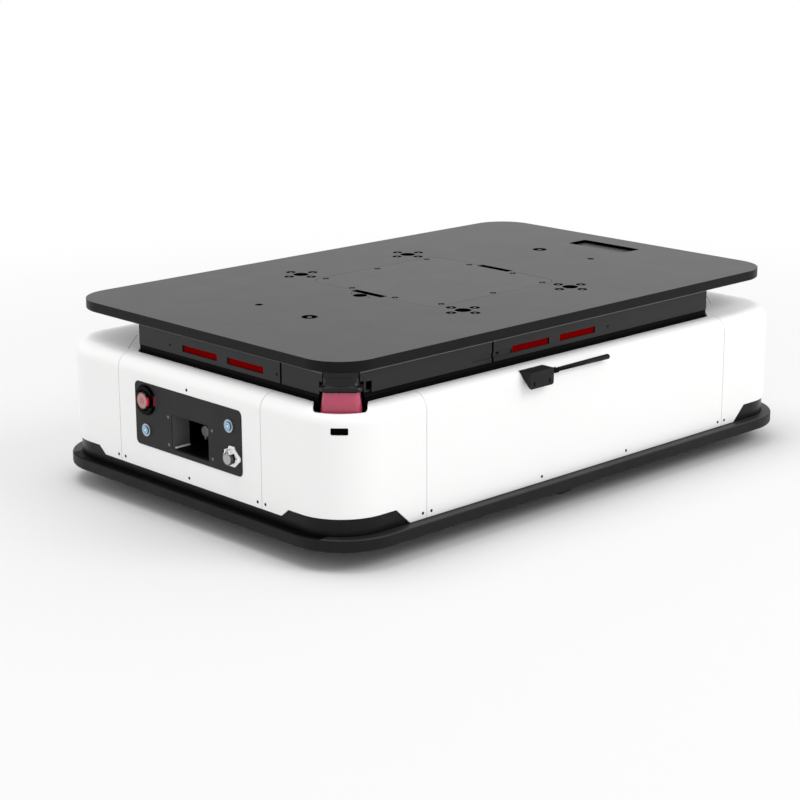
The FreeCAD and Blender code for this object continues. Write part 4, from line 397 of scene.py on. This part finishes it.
GLINT_LOW_Z, GLINT_HIGH_Z = 0.1690, 0.1850
SHROUD_GLINT = ((-0.5195, 0.0786, GLINT_LOW_Z), (-0.517, 0.0815, GLINT_HIGH_Z))
SHROUD = surface("shroud_plastic", rgb(2), 0.3, vary=0.05, grain=0.05, edge=0.0003, specular=0.04)
recolour(SHROUD, within(SHROUD, *SHROUD_GLINT), rgb(120, 38, 42))

STOP_CENTRE, STOP_HALO_RADII = (0, 0.101, 0.1745), (0.021, 0.0243)
PANEL_GLINT = ((-0.5195, 0.0764, GLINT_LOW_Z), (-0.517, 0.0790, GLINT_HIGH_Z))
PANEL_CUT_WALL = ((-0.517, 0.0370, 0.105), (-0.500, 0.0386, 0.168))
PANEL = surface("panel_black", rgb(28), 0.5, vary=0.03, grain=0.08, grain_scale=2600, edge=0.0008,
                specular=0.22)
recolour(PANEL, ring_mask(PANEL, STOP_CENTRE, *STOP_HALO_RADII, ACROSS_X, False), HOLE_BLACK, 0.04)
recolour(PANEL, within(PANEL, *PANEL_GLINT), rgb(96, 40, 42))
recolour(PANEL, within(PANEL, *PANEL_CUT_WALL), rgb(95), 0.2)

FUNNEL_WALL = ((-0.52, 0.0375, 0.105), (-0.4845, 0.042, 0.168))
FUNNEL_LIP_HIGHLIGHT = ((-0.515, 0.0360, 0.109), (-0.4845, 0.039, 0.1117))
FUNNEL = surface("funnel_plastic", rgb(3), 0.5, vary=0.06, grain=0.08, edge=0.0, specular=0.08)
recolour(FUNNEL, within(FUNNEL, *FUNNEL_WALL), rgb(95), 0.2)
# Painted highlight: a bright strip along the lip's chamfered edge.
recolour(FUNNEL, within(FUNNEL, *FUNNEL_LIP_HIGHLIGHT), rgb(252), 0.5)

PORT_CENTRE, PORT_BARREL_SHADE_RADII = (0, -0.107, 0.1275), (0.0078, 0.0094)
PORT_HOLE_YS, PORT_HOLE_Z, PORT_HOLE_SHADE_RADII = (-0.1180, -0.0960), 0.1285, (-1, 0.0012)
PORT_METAL = surface("port_metal", (0.97, 0.97, 0.97, 1), 0.38, vary=0.02, grain=0.04, grain_scale=900,
                     edge=0.0003)
# Painted shade darkens the barrel's side and fills the two holes.
recolour(PORT_METAL, ring_mask(PORT_METAL, PORT_CENTRE, *PORT_BARREL_SHADE_RADII, ACROSS_X, False), rgb(26), 0.1)
for hole_y in PORT_HOLE_YS:
    hole = ring_mask(PORT_METAL, (0, hole_y, PORT_HOLE_Z), *PORT_HOLE_SHADE_RADII, ACROSS_X, False)
    recolour(PORT_METAL, hole, rgb(10), 0.0)

BRACKET_SLOT_XS, BRACKET_SLOT_HALF_WIDTH = (-0.1343, -0.1003), 0.003
BRACKET_KNUCKLE = ((-0.0912, -0.36, 0.2), (-0.07, -0.32, 0.24))
BRACKET = surface("bracket_steel", rgb(16), 0.45, vary=0.05, grain=0.1, edge=0.0006, specular=0.2)
# Painted shade: the slots are painted black where shade fills them.
for slot_x in BRACKET_SLOT_XS:
    low = (slot_x - BRACKET_SLOT_HALF_WIDTH, -0.35195, 0.2085)
    high = (slot_x + BRACKET_SLOT_HALF_WIDTH, -0.3498, 0.219)
    recolour(BRACKET, within(BRACKET, low, high), rgb(0))
recolour(BRACKET, within(BRACKET, *BRACKET_KNUCKLE), HOLE_BLACK, 0.03)
ROD = surface("antenna_plastic", rgb(3), 0.42, vary=0.06, grain=0.1, edge=0.0003, specular=0.14)

PLASTIC = surface("black_plastic", rgb(14), 0.28, vary=0.06, grain=0.06, grain_scale=2200, edge=0.0010,
                  specular=0.26)
BLACK_STEEL = surface("black_steel", rgb(30), 0.45, vary=0.06, grain=0.12, edge=0.0006, specular=0.3)
FRAME_STEEL = surface("frame_steel", rgb(62), 0.55, vary=0.08, grain=0.2, grain_scale=900, edge=0.0008)
BELT = surface("belt_rubber", rgb(24), 0.75, vary=0.1, grain=0.3, edge=0.0)
BRIGHT = surface("bright_steel", (0.72, 0.72, 0.71, 1), 0.24, vary=0.04, grain=0.05, grain_scale=900,
                 metallic=1.0, edge=0.0005)
BEZEL = surface("bezel_metal", (0.42, 0.45, 0.49, 1), 0.3, vary=0.04, metallic=0.8, edge=0.0004)
ALUMINIUM = surface("aluminium", (0.55, 0.55, 0.56, 1), 0.38, vary=0.04, grain=0.1, metallic=1.0)
BATTERY = surface("battery_case", rgb(58, 66, 84), 0.45, vary=0.05, grain=0.15)
CONTACT = surface("contact_metal", (0.34, 0.34, 0.30, 1), 0.3, vary=0.05, metallic=0.6, edge=0.0003)
SCREW = surface("screw_black", rgb(6), 0.38, vary=0.1, grain=0.1, edge=0.0, specular=0.1)
DECK_SCREW = surface("deck_screw", rgb(66), 0.45, vary=0.08, grain=0.1, edge=0.0, specular=0.25)
SCREW_BRIGHT = surface("screw_bright", (0.2, 0.2, 0.2, 1), 0.3, vary=0.06, metallic=1.0, edge=0.0)


def window_red():
    """Dark red infrared window with a satin face and a faint painted glow."""
    material = surface("window_red", rgb(104, 1, 2), 0.5, vary=0.12, edge=0.0, specular=0.0)
    shader = shader_of(material)
    # Painted glow: a faint red emission, though the window is no lamp.
    shader.inputs["Emission Color"].default_value = rgb(120, 1, 2)
    shader.inputs["Emission Strength"].default_value = 0.16
    return material


def scanner_window():
    """Tinted window that lets some light into its body."""
    material = surface("scanner_window", rgb(182, 70, 98), 0.2, vary=0.05, coat=0.12, edge=0.0015)
    shader = shader_of(material)
    shader.inputs["Subsurface Weight"].default_value = 0.3
    shader.inputs["Subsurface Radius"].default_value = (0.01, 0.004, 0.004)
    return material


def wheel_material(name, axle, tread_radius, core, tread):
    """Cast hub inside, polyurethane tread outside, split at a radius about the wheel's own axle."""
    material = surface(name, core, 0.5, vary=0.06, grain=0.2)
    nodes = Nodes(material, clear=False)
    reach = from_axis(nodes, nodes.place(), axle, ACROSS_Y)
    recolour(material, nodes.math("GREATER_THAN", reach, tread_radius), tread)
    return material


def disc_material(name, centre, radius, stops, glow=0.0, coat=0.3):
    """Round cap facing forward, coloured by the distance from its own axis."""
    material = surface(name, stops[-1][1], 0.3, vary=0.03, coat=coat, edge=0.0004)
    nodes, shader = Nodes(material, clear=False), shader_of(material)
    reach = from_axis(nodes, nodes.place(), centre, ACROSS_X)
    colour = nodes.tint(nodes.math("MULTIPLY", reach, 1 / radius), stops)
    nodes.feed(colour, shader, "Base Color")
    if glow:
        nodes.feed(colour, shader, "Emission Color")
        shader.inputs["Emission Strength"].default_value = glow
    return material


LAMP_RADIUS, LAMP_GLOW = 0.0066, 0.2
LAMP_STOPS = [(0.0, rgb(196, 222, 205)), (0.3, rgb(165, 205, 205)), (0.42, rgb(80, 120, 150)),
              (0.55, rgb(70, 110, 150)), (0.66, rgb(140, 185, 215)), (0.86, rgb(120, 160, 195)),
              (0.97, rgb(50, 75, 105))]
STOP_EDGE = ((-0.5262, 0.086, 0.162), (-0.519, 0.0893, 0.187))
STOP_STOPS = [(0.0, rgb(146, 92, 88)), (0.18, rgb(158, 108, 104)), (0.30, rgb(138, 82, 80)),
              (0.38, rgb(166, 120, 116)), (0.74, rgb(172, 126, 122)), (0.83, rgb(176, 92, 92)),
              (0.88, rgb(120, 40, 46)), (0.94, rgb(8, 2, 3))]
# The dark ring on the service cap is painted shade in its groove.
CAP_RADIUS = 0.0125
CAP_FACE, CAP_GROOVE_SHADE = (0.36, 0.36, 0.37, 1), (0.05, 0.05, 0.05, 1)
CAP_STOPS = [(0.0, CAP_FACE), (0.66, CAP_FACE), (0.71, CAP_GROOVE_SHADE), (0.80, CAP_GROOVE_SHADE),
             (0.84, (0.4, 0.4, 0.41, 1))]


# ------------------------------------------------------------------ painting the solids

DRIVE_TREAD_RADIUS, CASTER_TREAD_RADIUS = 0.0715, 0.0265
SHARP_ANGLE = math.radians(32)


def paint(names, material):
    for name in names:
        item = NODES[name]
        item.data.materials.clear()
        item.data.materials.append(material)


def paint_wheel(name, tread_radius, core, tread):
    low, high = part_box(name)
    axle = Vector(((low.x + high.x) / 2, 0, (low.z + high.z) / 2))
    paint([name], wheel_material(name, axle, tread_radius, core, tread))


paint(["end_panel_front", "end_panel_rear", "side_panel_right", "side_panel_left"]
      + ["corner_shell_" + corner for corner in CORNERS], WHITE_PAINT)
paint(["lift_plate"], DECK)
paint(["access_cover"], COVER)
paint(["guard_left", "guard_right", "lidar_guard_front", "lidar_guard_rear"], GUARD)
paint(["chassis_top_plate"], BLACK_STEEL)
paint(["base_skirt"], SKIRT)
paint(["antenna_bracket"], BRACKET)
paint(["antenna_rod"], ROD)
paint(["base_plate", "chassis_frame"], FRAME_STEEL)
paint(["bumper"], BUMPER)
paint(["rim_seal"], SEAL)
paint(["lift_belt"], BELT)
paint(["lidar_front", "lidar_rear", "lift_motor", "drive_motors"], PLASTIC)
paint(["lidar_windows"], scanner_window())
paint(["sensor_windows"], window_red())
paint(["control_panel"], PANEL)
paint(["stop_shroud"], SHROUD)
paint(["charge_port"], FUNNEL)
paint(["charge_contacts"], CONTACT)
paint(["service_port"], PORT_METAL)
paint(["service_cap"], disc_material("cap_metal", PORT_CENTRE, CAP_RADIUS, CAP_STOPS, coat=0.0))
paint(["button_bezels"], BEZEL)
paint(["lift_columns"], BRIGHT)
paint(["lead_screw_" + corner for corner in CORNERS], BRIGHT)
paint(["caster_fork_" + corner for corner in CORNERS], BRIGHT)
paint(["lift_guides", "lift_pulley", "controller_box"], ALUMINIUM)
paint(["battery_pack"], BATTERY)
paint(["deck_screws", "panel_screws"], SCREW)

low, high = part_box("stop_button")
RED = disc_material("red_plastic", (low + high) / 2, (high.y - low.y) / 2, STOP_STOPS, coat=0.1)
recolour(RED, within(RED, *STOP_EDGE), rgb(205, 24, 48))
paint(["stop_button"], RED)
for side in ("left", "right"):
    low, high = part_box("push_button_" + side)
    lamp = disc_material("lamp_" + side, (low + high) / 2, LAMP_RADIUS, LAMP_STOPS, LAMP_GLOW)
    paint(["push_button_" + side], lamp)
    paint_wheel("drive_wheel_" + side, DRIVE_TREAD_RADIUS, core=rgb(120), tread=rgb(30))
for corner in CORNERS:
    paint_wheel("caster_wheel_" + corner, CASTER_TREAD_RADIUS, core=rgb(110), tread=rgb(34))

for item in NODES.values():
    item.data.shade_smooth()
    split = item.modifiers.new("Split", "EDGE_SPLIT")
    split.split_angle = SHARP_ANGLE


# ------------------------------------------------------------------ screws and small pieces

SCREW_SIDES = 24
DECK_HEAD_SHARE, DECK_SOCKET_SHARE, DECK_HEAD_DEPTH = 0.7, 0.2, 0.003
PANEL_SOCKET_SHARE, PANEL_HEAD_DEPTH, PANEL_HEAD_SUNK = 0.45, 0.0012, 0.0001
BLACK_SCREW, BRIGHT_SCREW = 0, 1
BLACK_PANEL_FACE_X, BLACK_PANEL_MIDDLE_Y, BLACK_PANEL_REACH_Y = -0.5175, -0.0065, 0.06
BLACK_PANEL_LOW_Z, BLACK_PANEL_HIGH_Z = 0.1, 0.17
WING_BOXES = (((-0.485, -0.2705, 0.266), (-0.482, -0.2641, 0.2828)),
              ((-0.4451, -0.3055, 0.266), (-0.4387, -0.3025, 0.2828)))
BLOCK_SIDE, BLOCK_TOP, BLOCK_OVERLAP = 0.049, 0.2832, 0.001
SHEATH_FROM_HINGE, SHEATH_FROM_TIP, SHEATH_RADII = 0.0072, 0.0047, (0.0033, 0.00429)


def new_piece(name, mesh_maker, materials, body):
    """Piece of its own that moves with one body."""
    mesh = bpy.data.meshes.new(name)
    form = bmesh.new()
    mesh_maker(form)
    form.to_mesh(mesh)
    form.free()
    for material in materials:
        mesh.materials.append(material)
    item = bpy.data.objects.new(name, mesh)
    scene.collection.objects.link(item)
    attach(item, body)
    return item


def add_screw(form, centre, normal, head, depth, sunk, socket, index, taper=0.45):
    """Screw head with a hexagon socket, its face at or just below the surface."""
    normal = Vector(normal)
    side = normal.orthogonal().normalized()
    other = normal.cross(side)

    def ring(radius, height, hexagon=False):
        verts = []
        for step in range(SCREW_SIDES):
            angle = 2 * math.pi * step / SCREW_SIDES
            reach = radius
            if hexagon:
                reach = radius * math.cos(math.pi / 6) / math.cos(angle % (math.pi / 3) - math.pi / 6)
            offset = side * math.cos(angle) * reach + other * math.sin(angle) * reach
            verts.append(form.verts.new(Vector(centre) + offset + normal * height))
        return verts

    base = ring(head * taper, -sunk - depth)
    outer = ring(head, -sunk)
    rim = ring(head * 0.9, -sunk + 0.0001)
    mouth = ring(socket, -sunk + 0.0001, hexagon=True)
    floor = ring(socket, -sunk - depth * 0.7, hexagon=True)
    for first, second in ((base, outer), (outer, rim), (rim, mouth), (mouth, floor)):
        for step in range(SCREW_SIDES):
            following = (step + 1) % SCREW_SIDES
            face = form.faces.new((first[step], first[following], second[following], second[step]))
            face.material_index = index
    form.faces.new(floor).material_index = index
    form.faces.new(base[::-1]).material_index = index


def node_islands(name):
    """Lowest and highest corner of each separate solid of a CAD node."""
    form = bmesh.new()
    form.from_mesh(NODES[name].data)
    bmesh.ops.remove_doubles(form, verts=form.verts, dist=1e-6)
    left, boxes = set(form.verts), []
    while left:
        stack, found = [left.pop()], []
        while stack:
            vert = stack.pop()
            found.append(vert.co.copy())
            for edge in vert.link_edges:
                far = edge.other_vert(vert)
                if far in left:
                    left.remove(far)
                    stack.append(far)
        boxes.append([Vector([pick(point[axis] for point in found) for axis in range(3)])
                      for pick in (min, max)])
    form.free()
    return boxes


def deck_screws(form):
    """Heads of the plate's screws, narrower than their sinks."""
    for low, high in node_islands("deck_screws"):
        centre = Vector(((low.x + high.x) / 2, (low.y + high.y) / 2, high.z))
        head = (high.x - low.x) / 2 * DECK_HEAD_SHARE - 0.00005
        add_screw(form, centre, (0, 0, 1), head, DECK_HEAD_DEPTH, 0.0, head * DECK_SOCKET_SHARE,
                  BLACK_SCREW, 1.0)


def on_black_panel(low, centre):
    """Whether a screw stands on the black panel of the front end, where the screws are bright."""
    beside = abs(centre.y - BLACK_PANEL_MIDDLE_Y) < BLACK_PANEL_REACH_Y
    return low.x < BLACK_PANEL_FACE_X and beside and BLACK_PANEL_LOW_Z < centre.z < BLACK_PANEL_HIGH_Z


def panel_screws(form):
    """Heads of the body's screws, each facing out of its own side."""
    for low, high in node_islands("panel_screws"):
        spans = high - low
        centre = (low + high) / 2
        axis = 0 if abs(spans.y - spans.z) < 1e-4 else 1
        head = spans[1 - axis] / 2
        outward = 1 if centre[axis] > 0 else -1
        normal, face = Vector((0, 0, 0)), centre.copy()
        normal[axis] = outward
        face[axis] = high[axis] if outward > 0 else low[axis]
        index = BRIGHT_SCREW if on_black_panel(low, centre) else BLACK_SCREW
        add_screw(form, face, normal, head - 0.0001, PANEL_HEAD_DEPTH, PANEL_HEAD_SUNK,
                  head * PANEL_SOCKET_SHARE, index)


def guard_wings(form):
    """Two lips of the guard beside each scanner's cap."""
    for turn in (1, -1):
        for low, high in WING_BOXES:
            centre = [(low[axis] + high[axis]) / 2 for axis in range(3)]
            size = [high[axis] - low[axis] for axis in range(3)]
            place = Matrix.Translation((centre[0] * turn, centre[1] * turn, centre[2]))
            bmesh.ops.create_cube(form, matrix=place @ Matrix.Diagonal((*size, 1)))


def scanner_blocks(form):
    """Block that closes the gap between each scanner's cap and the plate."""
    for name in ("lidar_front", "lidar_rear"):
        low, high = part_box(name)
        centre = Vector(((low.x + high.x) / 2, (low.y + high.y) / 2, (high.z + BLOCK_TOP) / 2))
        size = Matrix.Diagonal((BLOCK_SIDE, BLOCK_SIDE, BLOCK_TOP - high.z + BLOCK_OVERLAP, 1))
        turn = Matrix.Rotation(math.radians(45), 4, "Z")
        bmesh.ops.create_cube(form, matrix=Matrix.Translation(centre) @ turn @ size)


def antenna_sheath(form):
    """Sleeve that fills out the rod from its hinge to its tip."""
    low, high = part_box("antenna_rod")
    start, end = low.x + SHEATH_FROM_HINGE, high.x - SHEATH_FROM_TIP
    centre = Vector(((start + end) / 2, (low.y + high.y) / 2, (low.z + high.z) / 2))
    turn = Matrix.Rotation(math.radians(90), 4, "Y")
    bmesh.ops.create_cone(form, cap_ends=True, segments=32, radius1=SHEATH_RADII[0],
                          radius2=SHEATH_RADII[1], depth=end - start,
                          matrix=Matrix.Translation(centre) @ turn)
    for face in form.faces:
        face.smooth = len(face.verts) == 4


new_piece("antenna_sheath", antenna_sheath, [ROD], "antenna_rod")
new_piece("guard_wings", guard_wings, [GUARD], "chassis")
new_piece("scanner_blocks", scanner_blocks, [PLASTIC], "chassis")
deck_heads = new_piece("deck_screw_heads", deck_screws, [DECK_SCREW], "lift")
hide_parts("deck_screws")
panel_heads = new_piece("panel_screw_heads", panel_screws, [SCREW, SCREW_BRIGHT], "chassis")
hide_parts("panel_screws")


# ------------------------------------------------------------------ floor, light, camera

WHITE = (1, 1, 1, 1)
FLOOR_RADIUS, FLOOR_DROP = 60, 0.0003
FLOOR_LIT, FLOOR_SEEN = (0.75, 0.75, 0.75, 1), (0.69, 0.69, 0.69, 1)
FLOOR_FADE = (0.75, 2.2)
WORLD_LIGHT, WORLD_SEEN = 0.91, 1.0
CAMERA_PLACE = (-2.289, -2.3276, 0.9837)
CAMERA_YAW, CAMERA_PITCH = 0.7956, 0.2657
CAMERA_LENS, CAMERA_SENSOR, CAMERA_SHIFT = 90.675, 36, -0.0375


def stage_floor():
    """Pale floor that fades to the white of the backdrop away from the part."""
    mesh = bpy.data.meshes.new("floor")
    form = bmesh.new()
    bmesh.ops.create_circle(form, cap_ends=True, segments=64, radius=FLOOR_RADIUS)
    form.to_mesh(mesh)
    form.free()
    item = bpy.data.objects.new("floor", mesh)
    scene.collection.objects.link(item)
    item.location.z = -FLOOR_DROP
    material = bpy.data.materials.new("floor")
    nodes = Nodes(material)
    out = nodes.add("OutputMaterial")
    shader = nodes.add("BsdfPrincipled")
    shader.inputs["Roughness"].default_value = 0.8
    shader.inputs["Specular IOR Level"].default_value = 0.1
    to_camera = nodes.add("LightPath").outputs["Is Camera Ray"]
    nodes.feed(nodes.mix("RGBA", to_camera, FLOOR_LIT, FLOOR_SEEN), shader, "Base Color")
    glow = nodes.add("Emission")
    nodes.feed(WHITE, glow, "Color")
    fade = nodes.add("MapRange", interpolation_type="SMOOTHSTEP")
    nodes.feed(FLOOR_FADE[0], fade, "From Min")
    nodes.feed(FLOOR_FADE[1], fade, "From Max")
    nodes.feed(nodes.vector("LENGTH", nodes.place()), fade, "Value")
    blend = nodes.add("MixShader")
    nodes.feed(nodes.math("MULTIPLY", fade.outputs["Result"], to_camera), blend, 0)
    nodes.feed(shader.outputs["BSDF"], blend, 1)
    nodes.feed(glow.outputs["Emission"], blend, 2)
    nodes.feed(blend.outputs["Shader"], out, "Surface")
    mesh.materials.append(material)


def studio_world():
    """Even white surroundings, a little brighter where they are seen than where they light."""
    world = bpy.data.worlds.new("studio")
    scene.world = world
    nodes = Nodes(world)
    out = nodes.add("OutputWorld")
    backgrounds = []
    for strength in (WORLD_LIGHT, WORLD_SEEN):
        background = nodes.add("Background")
        nodes.feed(WHITE, background, "Color")
        nodes.feed(strength, background, "Strength")
        backgrounds.append(background.outputs["Background"])
    path = nodes.add("LightPath").outputs
    direct = nodes.math("MAXIMUM", path["Is Camera Ray"], path["Is Glossy Ray"])
    mix = nodes.add("MixShader")
    nodes.feed(nodes.math("MAXIMUM", direct, path["Is Transmission Ray"]), mix, 0)
    nodes.feed(backgrounds[0], mix, 1)
    nodes.feed(backgrounds[1], mix, 2)
    nodes.feed(mix.outputs["Shader"], out, "Surface")


def area_light(name, at, aim, size, power):
    lamp = bpy.data.lights.new(name, "AREA")
    lamp.shape = "DISK"
    lamp.size = size
    lamp.energy = power
    item = bpy.data.objects.new(name, lamp)
    scene.collection.objects.link(item)
    item.location = at
    item.rotation_euler = (Vector(aim) - Vector(at)).to_track_quat("-Z", "Y").to_euler()


def corner_camera():
    """Long-lens camera off the front right corner, a little above the plate."""
    data = bpy.data.cameras.new("camera")
    data.sensor_width = CAMERA_SENSOR
    data.lens = CAMERA_LENS
    data.shift_x = CAMERA_SHIFT
    data.clip_start, data.clip_end = 0.05, 200
    item = bpy.data.objects.new("camera", data)
    scene.collection.objects.link(item)
    ahead = Vector((math.cos(CAMERA_PITCH) * math.cos(CAMERA_YAW),
                    math.cos(CAMERA_PITCH) * math.sin(CAMERA_YAW), -math.sin(CAMERA_PITCH)))
    item.location = CAMERA_PLACE
    item.rotation_euler = ahead.to_track_quat("-Z", "Y").to_euler()
    scene.camera = item


stage_floor()
studio_world()
area_light("key", at=(1.6, -3.6, 3.6), aim=(0, 0, 0.15), size=2.6, power=80)
area_light("top", at=(-0.8, 0.6, 4.4), aim=(0, 0, 0.2), size=3.0, power=74)
corner_camera()
scene.view_settings.view_transform = "Standard"
